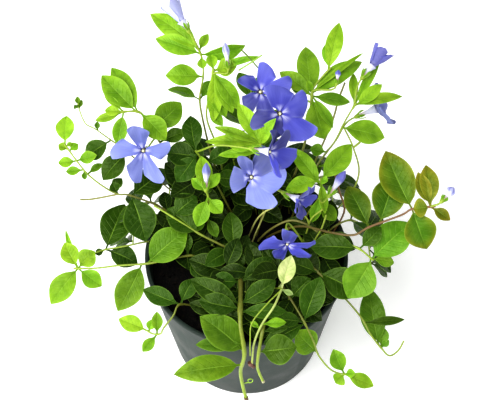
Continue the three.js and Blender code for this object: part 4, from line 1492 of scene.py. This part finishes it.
@dataclass
class Foliage:
    """The leafy stems with their flower stalks and calyxes."""

    finishes: Finishes
    mould: LeafMould
    rough_steps: int = 200
    sample: float = 2.0
    stem_taper: float = 0.3
    stem_old: str = "#5C5620"
    old_reach: Pair = (10, 85)
    young_age: float = 0.2
    mature_age: float = 0.9
    joint_swell: float = 0.25
    joint_reach: float = 1.6
    newest: float = 0.25
    newest_reach: Pair = (90, 99)
    lightness: Pair = (0.76, 1.24)
    redness: Pair = (0.88, 1.15)
    stalk_skin: str = "#8FA82E"
    stalk_sample: float = 1.8
    stalk_radii: Pair = (0.575, 0.425)
    stalk_gap: float = 2.0
    stalk_start: float = 0.35
    stalk_end: float = 0.4
    cup_ends: Pair = (2.8, -0.2)
    cup_radii: tuple[float, ...] = (0.5, 0.85, 1.1, 1.22, 1.25, 1.2, 1.12)
    full_bud: float = 4.4
    sepals: int = 5
    sepal_size: Pair = (5.2, 1.3)
    sepal_spread: float = 0.36
    sepal_depth: float = 1.4
    sepal_out: float = 0.9
    full_petal: float = 9
    twig_seed: int = 7
    twig_steps: int = 6

    def stem(self, shoot: Shoot, line: StemLine, old: float) -> bpy.types.Object:
        """Makes a stem that swells at its joints and narrows towards its tip.

        Args:
            shoot: the leafy stem.
            line: its middle line.
            old: how brown it is at its foot, 0 to 1.

        Returns:
            The stem as a mesh.
        """
        rough = line.at(np.linspace(0, line.spans, self.rough_steps))
        length = np.linalg.norm(np.diff(rough, axis=0), axis=1).sum()
        places = np.linspace(0, line.spans, max(8, int(length / self.sample)))
        points = line.at(places)
        percent = (places - 1) / (line.spans - 1) * 100
        radii = shoot.radius * shoot.girth * (1 - self.stem_taper * np.clip(percent, 0, 100) / 100)
        for joint in {leaf.percent for leaf in shoot.leaves}:
            reach = np.linalg.norm(points - line.joint(joint), axis=1)
            radii *= 1 + self.joint_swell * np.exp(-((reach / self.joint_reach) ** 2))
        share = (smooth(*self.old_reach, percent) * old + (1 - old))[:, None]
        colours = linear(self.stem_old) * (1 - share) + linear(shoot.skin) * share
        return tube("stem", points, radii, colours)

    def stalk(self, line: StemLine, percent: float, flower: Flower) -> list[bpy.types.Object]:
        """Makes a flower's stalk and its calyx.

        Args:
            line: the stem that it grows from.
            percent: where on the stem.
            flower: the flower that it carries.

        Returns:
            The stalk and the calyx cup.
        """
        start, end = line.joint(percent), flower.foot - flower.axis * self.stalk_gap
        reach = np.linalg.norm(end - start)
        lifted = start + (end - start) * self.stalk_start + UP * reach * flower.rise
        bow = end - flower.axis * reach * self.stalk_end
        t = np.linspace(0, 1, max(6, int(reach / self.stalk_sample)))[:, None]
        points = start * (1 - t) ** 3 + 3 * lifted * t * (1 - t) ** 2
        points = points + 3 * bow * t**2 * (1 - t) + end * t**3
        radii = np.linspace(*self.stalk_radii, len(t))
        steps = np.linspace(*self.cup_ends, len(self.cup_radii))[:, None]
        size = min(1.0, flower.width / self.full_bud) if flower.closed else 1.0
        skin = linear(self.stalk_skin)
        return [
            tube("stalk", points, radii, skin),
            tube("calyx", flower.foot - flower.axis * steps, np.array(self.cup_radii) * size, skin),
        ]

    def sepal_leaves(self, flower: Flower) -> list[tuple[np.ndarray, Leaf, np.ndarray]]:
        """Gives the root, shape and light of each of a calyx's narrow sepals."""
        axis, rows = flower.axis, []
        for i in range(self.sepals):
            outward = turned_about(flower.across, axis, FULL_TURN * i / self.sepals)
            along = unit(axis + outward * self.sepal_spread)
            turn = math.degrees(math.atan2(along[1], along[0]))
            lift = math.degrees(math.asin(along[2]))
            length, width = self.sepal_size
            size = min(1.0, flower.petal / self.full_petal)
            root = flower.foot - axis * self.sepal_depth + outward * self.sepal_out
            rows.append((root, Leaf(0, turn, lift, length * size, width), outward))
        return rows

    def blades(self, leaves: list[bpy.types.Object]) -> bpy.types.Object:
        """Joins open leaves and gives them their thickness, a glossy face and a matt back."""
        face, back = self.finishes.cuticle, self.finishes.underside
        return thickened(leaves, "blades", self.mould.thickness, face, back)

    def leafy_stem(self, name: str, shoot: Shoot, seed: int) -> bpy.types.Object:
        """Makes one leafy stem.

        Args:
            name: what it is called.
            shoot: its table.
            seed: the seed of its small differences.

        Returns:
            The finished leafy stem.
        """
        random = np.random.default_rng(seed)
        line = StemLine(shoot.stem)
        light = np.array(shoot.light)
        inner, outer = linear(shoot.inner.value), linear(shoot.outer.value)
        flush, young = linear(shoot.outer.flush), linear(Tone.YOUNG.value)
        leaves = []
        for leaf in shoot.leaves + SMALL_LEAVES.get(name, []):
            share = smooth(*shoot.ages, leaf.percent)
            newest = self.newest * smooth(*self.newest_reach, leaf.percent)
            colour = (inner * (1 - share) + outer * share) * (1 - newest) + flush * newest
            colour = colour * random.uniform(*self.lightness)
            colour[0] *= random.uniform(*self.redness)
            colour[3] = 1
            edge = flush * share + colour * (1 - share)
            joint = line.joint(leaf.percent)
            leaves.append(self.mould.bent(joint, leaf, light, colour, edge, random))
        for _, flower_name in shoot.flowers:
            for root, sepal, outward in self.sepal_leaves(FLOWERS[flower_name]):
                leaves.append(self.mould.bent(root, sepal, outward, young, young, random))
        sheet = self.blades(leaves)
        green = shoot.inner in (Tone.YOUNG, Tone.PALE)
        woody = [self.stem(shoot, line, self.young_age if green else self.mature_age)]
        for percent, flower_name in shoot.flowers:
            woody += self.stalk(line, percent, FLOWERS[flower_name])
        for part in woody:
            coat(part, self.finishes.stem)
        return joined([sheet, *woody], f"leafy_{name}")

    def twigs(self) -> None:
        """Makes the thin stems, stubs and cut ends as one piece, and hands it over."""
        random = np.random.default_rng(self.twig_seed)
        young = linear(Tone.YOUNG.value)
        parts, leaves = [], []
        for twig in TWIGS.values():
            line = StemLine(twig.points, twig.rooted)
            for leaf in twig.leaves:
                joint = line.joint(leaf.percent)
                leaves.append(self.mould.bent(joint, leaf, UP, young, young, random))
            points = line.at(np.linspace(0, line.spans, self.twig_steps * line.spans + 1))
            radii = np.full(len(points), twig.radius)
            parts.append(tube("twig", points, radii, linear(twig.skin)))
        stems = joined(parts, "twigs")
        coat(stems, self.finishes.stem)
        hand_over(joined([self.blades(leaves), stems], "thin_twigs"), "leaf_young")

    def shoot(self, name: str, shoot: Shoot, seed: int) -> None:
        """Makes a leafy stem that stands for a solid, and hands it over."""
        hand_over(self.leafy_stem(name, shoot, seed), shoot.slot, f"shoot_{name}")


@dataclass
class Understorey:
    """Short leafy stems that fill the plant's middle, their leaves painted dark for the long ones'
    shade.
    """

    foliage: Foliage
    stems: int = 46
    spread: float = 44.0
    golden_angle: float = 137.5
    bare: tuple[tuple[float, float, float, float], ...] = ((-54, -18, -40, 3), (-15, 36, -9, 34))
    seed: int = 23
    height: Pair = (12, 24)
    tall: tuple[Point, ...] = (
        (-12, 42, 30), (-25, 40, 34), (-34, 32, 36), (-5, 47, 34), (12, 46, 34), (28, 38, 28),
    )
    ground: float = 79.0
    foot_share: float = 0.85
    lean_out: Pair = (2, 10)
    lean_aside: float = 4
    bend: float = 1.5
    steps: tuple[float, ...] = (0.0, 0.35, 0.7, 1.0)
    joints: tuple[float, ...] = (45, 72, 100)
    joint_taper: float = 0.1
    turn_jitter: Pair = (-14, 14)
    lift: Pair = (-6, 26)
    length: Pair = (16.0, 25.0)
    plump: Pair = (0.44, 0.62)

    def one(self, at: np.ndarray, height: float, random: np.random.Generator) -> Shoot:
        """Works out one short stem.

        Args:
            at: where it stands, from the pot's middle, in millimetres.
            height: how high it grows.
            random: the source of its differences.

        Returns:
            Its table.
        """
        foot = at * self.foot_share + UP * self.ground
        lean = unit(at) * random.uniform(*self.lean_out)
        lean = lean + direction(random.uniform(0, 360), 0) * self.lean_aside
        stem = [tuple(foot + lean * t**self.bend + UP * height * t) for t in self.steps]
        first = random.uniform(0, 180)
        leaves = []
        for joint, percent in enumerate(self.joints):
            for sign in (0, 180):
                length = random.uniform(*self.length) * (1 - self.joint_taper * joint)
                turn = first + 90 * joint + sign + random.uniform(*self.turn_jitter)
                lift, plump = random.uniform(*self.lift), random.uniform(*self.plump)
                leaves.append(Leaf(percent, turn, lift, length, length * plump))
        # Painted shade: its leaves take the darkest tone, for the shade inside the plant
        return Shoot(1.0, Tone.DEEP, Tone.DEEP, "leaf_mature", stem, leaves)

    def open_ground(self, x: float, y: float) -> bool:
        """Tells whether a spot lies where the photograph shows bare soil."""
        return any(x0 < x < x1 and y0 < y < y1 for x0, x1, y0, y1 in self.bare)

    def build(self) -> None:
        """Makes them all as one piece, spaced evenly by the golden angle, and hands it over."""
        random = np.random.default_rng(self.seed)
        spots = []
        for i in range(self.stems):
            reach = self.spread * math.sqrt((i + 0.5) / self.stems)
            at = direction(i * self.golden_angle, 0) * reach
            if not self.open_ground(at[0], at[1]):
                spots.append((at, random.uniform(*self.height)))
        spots += [(np.array([x, y, 0.0]), height) for x, y, height in self.tall]
        parts = []
        for i, (at, height) in enumerate(spots):
            stem = self.one(at, height, random)
            parts.append(self.foliage.leafy_stem("inner", stem, self.seed + i))
        hand_over(joined(parts, "inner_stems"), "leaf_mature")


BACK_PROFILES = {
    "trailing": [(40, 82), (48, 97), (58, 101), (67, 88), (71, 66), (74, 44)],
    "arching": [(36, 82), (46, 108), (58, 128), (74, 138)],
}
BACK_JOINTS = {"trailing": [40, 62, 82, 100], "arching": [46, 74, 100]}
BACK_STEMS = [
    ("trailing", 14), ("trailing", 46), ("trailing", 73), ("arching", 88),
    ("trailing", 105), ("trailing", 129), ("trailing", 154),
]


@dataclass
class BackRule:
    """The rule that the leafy stems at the back follow, as in the solids."""

    seed: int = 7
    radius: float = 1.1
    stagger: float = 11
    length: float = 23
    width: float = 13
    taper: float = 0.12
    size_jitter: float = 0.08
    pair_angle: float = 56
    tip_angle: float = 28
    turn_jitter: float = 8
    lift: float = 12
    droop: float = 14
    lift_jitter: float = 6
    light_lean: float = 0.5
    modulus: int = 2**32
    state: int = 0

    def random(self) -> float:
        """Draws the next number from 0 to 1, by the rule's own generator."""
        self.state = (self.state * 1664525 + 1013904223) % self.modulus
        return self.state / self.modulus

    def spread(self, amount: float) -> float:
        """Draws a number up to so much either way."""
        return (self.random() * 2 - 1) * amount

    def shoots(self) -> dict[str, Shoot]:
        """Works out the stems.

        Returns:
            Each stem by the name of its solid, without its prefix.
        """
        self.state = self.seed
        made = {}
        for index, (kind, azimuth) in enumerate(BACK_STEMS):
            toward, trailing = direction(azimuth, 0), kind == "trailing"
            joints = BACK_JOINTS[kind]
            leaves = []
            for joint, percent in enumerate(joints):
                for sign in (1, -1):
                    size = 1 - self.taper * joint + self.spread(self.size_jitter)
                    angle = self.tip_angle if joint == len(joints) - 1 else self.pair_angle
                    turn = azimuth + sign * angle + self.spread(self.turn_jitter)
                    lift = -joint * self.droop if trailing else self.lift
                    lift += self.spread(self.lift_jitter)
                    place_on = percent - (index % 2) * self.stagger
                    leaves.append(Leaf(place_on, turn, lift, self.length * size, self.width * size))
            stem = [tuple(toward * r + UP * z) for r, z in BACK_PROFILES[kind]]
            light = tuple(toward * self.light_lean + UP)
            outer, slot = (Tone.MATURE, "leaf_mature") if trailing else (Tone.MID, "leaf_mid")
            made[f"back_{index + 1}"] = Shoot(
                self.radius, Tone.MATURE, outer, slot, stem, leaves, light=light
            )
        return made


@dataclass
class PetalMould:
    """One flat petal lobe with its share of the throat, that every petal is a bent copy of."""

    rows: int = 20
    columns: int = 12
    thickness: float = 0.22
    throat_rows: float = 0.2
    throat_narrows: float = 3.6
    throat_depth: float = 14.0
    throat_least: float = 0.55
    root_radius: float = 1.5
    seat: float = 1.2
    skew: float = 0.16
    skew_reach: float = 0.8
    rounding: float = 0.16
    lip: float = 0.6
    lip_place: float = 0.1
    lip_reach: float = 0.08
    lip_half: float = 0.5
    arch: float = 0.5
    droop: Pair = (0.2, 0.9)
    join: Pair = (0.06, 0.2)
    side_fall: float = 0.06
    fall_reach: Pair = (0.2, 0.6)
    groove: float = 0.3
    groove_half: float = 0.14
    wave: Pair = (0.7, 1.5)
    waves: float = 2.2
    ruffle: float = 0.25
    ruffles: Pair = (5.0, 4.0)
    phase: Pair = (0, 6.28)
    wrap_cups: Pair = (20, 60)
    wrap_least: float = 2.4
    overlap: float = 0.22
    places: tuple[float, ...] = (0, 0.12, 0.25, 0.4, 0.55, 0.7, 0.82, 0.92, 1)
    shares: tuple[float, ...] = (0, 0.12, 0.28, 0.5, 0.72, 0.91, 1.0, 0.96, 0.76)
    template: bpy.types.Object | None = None

    def build(self) -> None:
        """Makes the flat template: x along the lobe and y across it, both without size."""
        deselect()
        bpy.ops.mesh.primitive_grid_add(
            x_subdivisions=self.rows, y_subdivisions=self.columns, size=1, location=(0.5, 0, 0)
        )
        lobe = bpy.context.object
        lobe.name = "petal_mould"
        lobe.scale = (1, 2, 1)
        bpy.ops.object.transform_apply(location=True, scale=True)
        self.template = lobe

    def bent(
        self, flower: Flower, lobe: Lobe, colour: np.ndarray, random: np.random.Generator
    ) -> bpy.types.Object:
        """Makes one petal with its fifth of the throat.

        Args:
            flower: the flower's table.
            lobe: its turn about the throat, its length, its width and its cup.
            colour: its linear RGBA.
            random: the source of its small differences.

        Returns:
            The petal as an open sheet.
        """
        piece = copied(self.template, "petal")
        flat = coordinates(piece)
        u, v = flat[:, 0], flat[:, 1]
        map_blade(piece, np.stack([u, v * 0.5 + 0.5], 1))
        tint(piece, colour)
        turn, length, width, lift = lobe
        outward = turned_about(flower.across, flower.axis, math.radians(turn))
        side = np.cross(flower.axis, outward)
        cup = math.radians(lift)
        s = (u - self.throat_rows) / (1 - self.throat_rows)
        out, inside = np.clip(s, 0, 1), np.where(s < 0, s, 0)
        skew = self.skew * v * np.clip(out / self.skew_reach, 0, 1) ** 2
        reach = length * (out + skew - self.rounding * np.abs(v) ** 2.6 * out**5)
        radius = self.root_radius + reach * math.cos(cup) + inside * self.throat_narrows
        radius = np.maximum(radius, self.throat_least)
        height = -self.seat + reach * math.sin(cup) + inside * self.throat_depth
        near_lip = np.exp(-(((s - self.lip_place) / self.lip_reach) ** 2))
        height += self.lip * near_lip * np.exp(-((v / self.lip_half) ** 2))
        droop = random.uniform(*self.droop) * out**3
        height += (self.arch * np.sin(math.pi * out) - droop) * math.cos(cup)
        widen = flower.waist + (1 - flower.waist) * np.interp(out, self.places, self.shares)
        join = 1 - smooth(*self.join, out)
        half = widen * (width / 2) * (1 - join) + radius * math.tan(math.pi / PETALS) * join
        across = v * half
        wave = random.uniform(*self.wave)
        waved = np.sin(self.waves * math.pi * out + random.uniform(*self.phase)) * v * np.abs(v)
        ruffles = self.ruffles[0] * v + self.ruffles[1] * out + random.uniform(*self.phase)
        height += (
            -self.side_fall * np.abs(across) * smooth(*self.fall_reach, out)
            - self.groove * np.exp(-((v / self.groove_half) ** 2)) * out * (1 - out) * 4
            + wave * waved * out + self.ruffle * np.sin(ruffles) * out
        )
        wrap = float(smooth(*self.wrap_cups, lift))
        angle = across / np.maximum(radius, self.wrap_least)
        spiral = radius + self.overlap * angle
        flat_shape = np.outer(radius, outward) + np.outer(across, side)
        forward, sideways = spiral * np.cos(angle), spiral * np.sin(angle)
        round_shape = np.outer(forward, outward) + np.outer(sideways, side)
        shape = flat_shape * (1 - wrap) + round_shape * wrap
        points = np.array(flower.throat) + shape + np.outer(height, flower.axis)
        place(piece, points * MM)
        return piece


@dataclass
class Blooms:
    """The open flowers and the buds."""

    finishes: Finishes
    mould: PetalMould
    shell_share: float = 0.86
    shell_drop: float = 1.3
    shell_steps: int = 20
    shell_places: tuple[float, ...] = (0, 0.3, 0.55, 0.8, 1)
    shell_radii: tuple[float, ...] = (0.8, 0.95, 1.3, 2.0)
    open_throat: float = 2.5
    cupped_throat: float = 2.9
    cupped: float = 45
    stigma_radius: float = 0.7
    stigma_depth: float = 1.7
    stigma_height: float = 0.7
    stigma_place: Pair = (0.02, 0.5)
    # How much deeper in hue a lobe painted darker becomes
    shade_depth: float = 0.6
    hue_jitter: Pair = (0.93, 1.07)
    bud_steps: int = 40
    bud_places: tuple[float, ...] = (0, 0.3, 0.5, 0.64, 0.8, 0.93, 1)
    bud_radii: tuple[float, ...] = (0.42, 0.5, 0.82, 1, 0.8, 0.4, 0.0)
    bud_twist: float = 7
    bud_swell: float = 0.16
    bud_phase: Pair = (0, 6.28)
    bud_furled: Pair = (0.3, 0.55)
    bud_deep: str = "#3F40A8"
    bud_depth: float = 0.75
    bud_deep_reach: Pair = (0.3, 0.5)
    bud_along: Pair = (-1.3, 1.3)

    def tube_shell(self, flower: Flower, colour: np.ndarray) -> bpy.types.Object:
        """Makes the outside of a corolla tube, from its calyx to just under its petals.

        Args:
            flower: the flower's table.
            colour: its linear RGBA.

        Returns:
            The tube as a mesh.
        """
        shares = np.linspace(0, 1, 9)
        throat = self.open_throat if flower.cup < self.cupped else self.cupped_throat
        radii = np.interp(shares, self.shell_places, [*self.shell_radii, throat])
        length, drop = flower.tube * self.shell_share, self.shell_drop
        profile = [(r * MM, ((h - 1) * length - drop) * MM) for r, h in zip(radii, shares)]
        piece = spun("tube", profile, self.shell_steps)
        points = coordinates(piece)
        along = (points[:, 2] / MM + drop) / length
        map_blade(piece, np.stack([along, np.full(len(points), 0.5)], 1))
        tint(piece, colour)
        place(piece, flower.stood(points) + np.array(flower.throat) * MM)
        coat(piece, self.finishes.petal_back)
        return smooth_shaded(piece)

    def stigma(self, flower: Flower) -> bpy.types.Object:
        """Makes the cream cap that shows in the middle of a flower's throat."""
        deselect()
        bpy.ops.mesh.primitive_uv_sphere_add(
            segments=16, ring_count=10, radius=self.stigma_radius * MM
        )
        cap = bpy.context.object
        points = coordinates(cap)
        points[:, 2] *= self.stigma_height
        place(cap, points + (np.array(flower.throat) - flower.axis * self.stigma_depth) * MM)
        map_blade(cap, np.full((len(points), 2), self.stigma_place))
        tint(cap, linear(flower.hue.value))
        coat(cap, self.finishes.petal)
        return smooth_shaded(cap)

    def open_flower(self, name: str, flower: Flower, seed: int) -> bpy.types.Object:
        """Makes an open flower.

        Args:
            name: its name, which is its solid's.
            flower: its table.
            seed: the seed of its small differences.

        Returns:
            The finished flower.
        """
        random = np.random.default_rng(seed)
        colour = linear(flower.hue.value)
        petals = []
        # Painted light and shade: each lobe's colour is scaled by its lightness, and darker lobes are
        # deepened too
        for lobe, shade in zip(flower.petals(), flower.tones_and_shading):
            depth = 1 + self.shade_depth * (1 - min(1.0, shade))
            own = colour**depth * shade * random.uniform(*self.hue_jitter)
            own[3] = 1
            petals.append(self.mould.bent(flower, lobe, own, random))
        face, back = self.finishes.petal, self.finishes.petal_back
        corolla = thickened(petals, "corolla", self.mould.thickness, face, back)
        parts = [corolla, self.tube_shell(flower, colour), self.stigma(flower)]
        return joined(parts, f"corolla_{name}")

    def closed_bud(self, name: str, flower: Flower, seed: int) -> bpy.types.Object:
        """Makes a furled bud, its petals twisted round each other.

        Args:
            name: its name, which is its solid's.
            flower: its table.
            seed: the seed of its small differences.

        Returns:
            The finished bud.
        """
        random = np.random.default_rng(seed)
        length, half = flower.tube + flower.petal, flower.width / 2
        shares = np.linspace(0, 1, 19)
        radii = np.interp(shares, self.bud_places, self.bud_radii)
        profile = [(r * half * MM, h * length * MM) for r, h in zip(radii, shares)]
        piece = spun(f"corolla_{name}", profile, self.bud_steps)
        points = coordinates(piece)
        share = points[:, 2] / (length * MM)
        turn = np.arctan2(points[:, 1], points[:, 0])
        twist = PETALS * turn + share * self.bud_twist + random.uniform(*self.bud_phase)
        fold = 0.5 + 0.5 * np.cos(twist)
        swell = 1 + self.bud_swell * (fold - 0.5) * smooth(*self.bud_furled, share)
        points[:, :2] *= swell[:, None]
        mix = (self.bud_depth * (1 - fold) ** 2 * smooth(*self.bud_deep_reach, share))[:, None]
        tint(piece, linear(flower.hue.value) * (1 - mix) + linear(self.bud_deep) * mix)
        start, end = self.bud_along
        along = start + share * (end - start)
        map_blade(piece, np.stack([along, np.full(len(points), 0.5)], 1))
        foot = np.array(flower.throat) - flower.axis * flower.tube
        place(piece, flower.stood(points) + foot * MM)
        coat(piece, self.finishes.petal_back)
        return smooth_shaded(piece)

    def bloom(self, name: str, flower: Flower, seed: int) -> None:
        """Makes a flower or a bud and hands it over."""
        maker = self.closed_bud if flower.closed else self.open_flower
        hand_over(maker(name, flower, seed), f"petal_{flower.hue.name.lower()}", name)


@dataclass
class NurseryPot:
    """The moulded pot: a thin shell with a small lip, drain holes and foot notches."""

    finishes: Finishes
    height: float = 90
    rim: float = 55
    base: float = 43
    wall: float = 1.2
    floor: float = 1.8
    lip_height: float = 3.2
    lip_reach: float = 1.1
    edge: float = 0.8
    edge_softness: float = 0.3
    steps: int = 96
    holes: int = 6
    hole_radius: float = 3.5
    hole_circle: float = 28
    hole_steps: int = 24
    notches: int = 4
    notch_width: float = 7
    notch_height: float = 1.3
    notch_depth: float = 5
    crease: float = 35

    def profile(self) -> list[Pair]:
        """Gives the outline of the shell, from the middle of its underside round to inside."""
        wall_top = self.rim - self.lip_reach
        inside_top = wall_top - self.wall
        lip = self.height - self.lip_height
        e = self.edge
        soft = e * self.edge_softness
        return [
            (0, 0), (self.base - e, 0), (self.base - soft, soft), (self.base, e),
            (wall_top, lip), (wall_top + e * 0.4, lip + e * 0.05),
            (self.rim - e * 0.2, lip + soft), (self.rim, lip + e),
            (self.rim, self.height - e), (self.rim - soft, self.height - soft),
            (self.rim - e, self.height), (inside_top + e, self.height),
            (inside_top + soft, self.height - soft), (inside_top, self.height - e),
            (self.base - self.wall, self.floor), (0, self.floor),
        ]

    def build(self) -> None:
        """Makes the pot and hands it over."""
        pot = spun("nursery_pot", [(r * MM, z * MM) for r, z in self.profile()], self.steps)
        cutters = []
        for i in range(self.holes):
            at = direction(i * 360 / self.holes, 0) * self.hole_circle * MM
            deselect()
            bpy.ops.mesh.primitive_cylinder_add(
                vertices=self.hole_steps, radius=self.hole_radius * MM, depth=self.floor * 3 * MM,
                location=(at[0], at[1], self.floor / 2 * MM),
            )
            cutters.append(bpy.context.object)
        for i in range(self.notches):
            turn = (i + 0.5) * 360 / self.notches
            deselect()
            bpy.ops.mesh.primitive_cube_add(
                size=MM, location=tuple(direction(turn, 0) * self.base * MM),
                rotation=(0, 0, math.radians(turn)),
                scale=(self.notch_depth, self.notch_width, self.notch_height * 2),
            )
            cutters.append(bpy.context.object)
        for cutter in cutters:
            finished(pot, "BOOLEAN", operation="DIFFERENCE", object=cutter, solver="EXACT")
            bpy.data.objects.remove(cutter)
        coat(pot, self.finishes.plastic)
        smooth_shaded(pot, self.crease)
        hand_over(pot, "pot_plastic", "pot")


@dataclass
class PottingSoil:
    """The peat: a filling with a rough top and loose crumbs."""

    finishes: Finishes
    top: float = 80
    mound: float = 2
    bottom: float = 2.1
    foot_radius: float = 41.3
    top_radius: float = 51.0
    rings: int = 22
    spokes: int = 64
    bumps: Pair = (-1.1, 1.1)
    crumbs: int = 260
    crumb_spread: float = 0.92
    crumb_size: Pair = (0.5, 1.7)
    crumb_dents: Pair = (0.7, 1.25)
    crease: float = 40
    seed: int = 11

    def level(self, radius: float) -> float:
        """Gives the height of its mounded top, so far from the middle."""
        return self.top - self.mound * (radius / self.top_radius) ** 2

    def build(self) -> None:
        """Makes the soil and hands it over."""
        random = np.random.default_rng(self.seed)
        edge = self.top - self.mound
        profile = [(0, self.bottom), (self.foot_radius, self.bottom), (self.top_radius, edge - 1)]
        profile += [(r, self.level(r)) for r in np.linspace(self.top_radius, 0, self.rings)]
        soil = spun("potting_soil", [(r * MM, z * MM) for r, z in profile], self.spokes)
        points = coordinates(soil)
        surface = points[:, 2] > (edge - 0.5) * MM
        inner = surface & (np.hypot(points[:, 0], points[:, 1]) < (self.top_radius - 1) * MM)
        points[inner, 2] += random.uniform(*self.bumps, inner.sum()) * MM
        place(soil, points)
        deselect()
        bpy.ops.mesh.primitive_ico_sphere_add(subdivisions=1, radius=MM)
        ball = bpy.context.object
        flat = coordinates(ball)
        parts = [soil]
        for _ in range(self.crumbs):
            crumb = copied(ball, "crumb")
            radius = self.top_radius * math.sqrt(random.uniform(0, self.crumb_spread))
            at = direction(random.uniform(0, 360), 0) * radius
            at[2] = self.level(radius)
            shape = flat * random.uniform(*self.crumb_size, 3)
            shape = shape * random.uniform(*self.crumb_dents, (len(flat), 1))
            place(crumb, shape + at * MM)
            parts.append(crumb)
        bpy.data.objects.remove(ball)
        soil = joined(parts, "potting_soil")
        coat(soil, self.finishes.peat)
        smooth_shaded(soil, self.crease)
        hand_over(soil, "potting_soil", "soil")


@dataclass(frozen=True)
class Lamp:
    """A square soft light on the plant, with its place and side in metres and its power in watts."""

    name: str
    at: Point
    size: float
    power: float
    aim: Point = (0, 0, 0.1)

    def build(self) -> None:
        """Hangs the light."""
        toward = Vector(self.aim) - Vector(self.at)
        bpy.ops.object.light_add(
            type="AREA", location=self.at, rotation=toward.to_track_quat("-Z", "Y").to_euler()
        )
        light = bpy.context.object
        light.name = self.name
        light.data.size = self.size
        light.data.energy = self.power


@dataclass
class Studio:
    """A plain pale floor, soft lights and the camera that the photograph was taken from."""

    elevation: float = 57.9
    distance: float = 721
    lens: float = 93.6
    sensor: float = 36
    target: Point = (1.9, 33.8, 90)
    floor_size: float = 6000
    floor_gap: float = 0.2
    sky: float = 0.46
    lamps: tuple[Lamp, ...] = (
        Lamp("key_light", (-0.32, -0.4, 1.05), 0.8, 11.5),
        Lamp("side_light", (-1.0, -0.45, 0.35), 0.4, 8.0),
        Lamp("fill_light", (0.7, -0.6, 0.7), 0.8, 1.2),
    )

    def build(self) -> None:
        """Makes the floor, the lights and the camera."""
        deselect()
        bpy.ops.mesh.primitive_plane_add(
            size=self.floor_size * MM, location=(0, 0, -self.floor_gap * MM)
        )
        floor = bpy.context.object
        floor.name = "floor"
        floor.data.materials.append(PlainPaint().build())
        scene = bpy.context.scene
        scene.view_settings.view_transform = "Standard"
        scene.view_settings.look = "Medium High Contrast"
        world = bpy.data.worlds.new("soft_sky")
        world.use_nodes = True
        sky = next(n for n in world.node_tree.nodes if n.type == "BACKGROUND")
        sky.inputs["Color"].default_value = (1, 1, 1, 1)
        sky.inputs["Strength"].default_value = self.sky
        scene.world = world
        for lamp in self.lamps:
            lamp.build()
        at = (np.array(self.target) + direction(-90, self.elevation) * self.distance) * MM
        tilt = math.radians(90 - self.elevation)
        bpy.ops.object.camera_add(location=tuple(at), rotation=(tilt, 0, 0))
        camera = bpy.context.object
        camera.name = "photo_camera"
        camera.data.lens = self.lens
        camera.data.sensor_width = self.sensor
        scene.camera = camera


def main() -> None:
    """Builds the potted plant and its studio in order."""
    deselect()
    Studio().build()
    finishes = Finishes()
    NurseryPot(finishes).build()
    PottingSoil(finishes).build()
    leaf_mould, petal_mould = LeafMould(), PetalMould()
    leaf_mould.build()
    foliage = Foliage(finishes, leaf_mould)
    for seed, (name, shoot) in enumerate({**SHOOTS, **BackRule().shoots()}.items()):
        foliage.shoot(name, shoot, seed)
    foliage.twigs()
    Understorey(foliage).build()
    petal_mould.build()
    blooms = Blooms(finishes, petal_mould)
    for seed, (name, flower) in enumerate(FLOWERS.items(), start=100):
        blooms.bloom(name, flower, seed)
    for mould in (leaf_mould, petal_mould):
        bpy.data.objects.remove(mould.template)
    deselect()


if __name__ == "__main__":
    main()
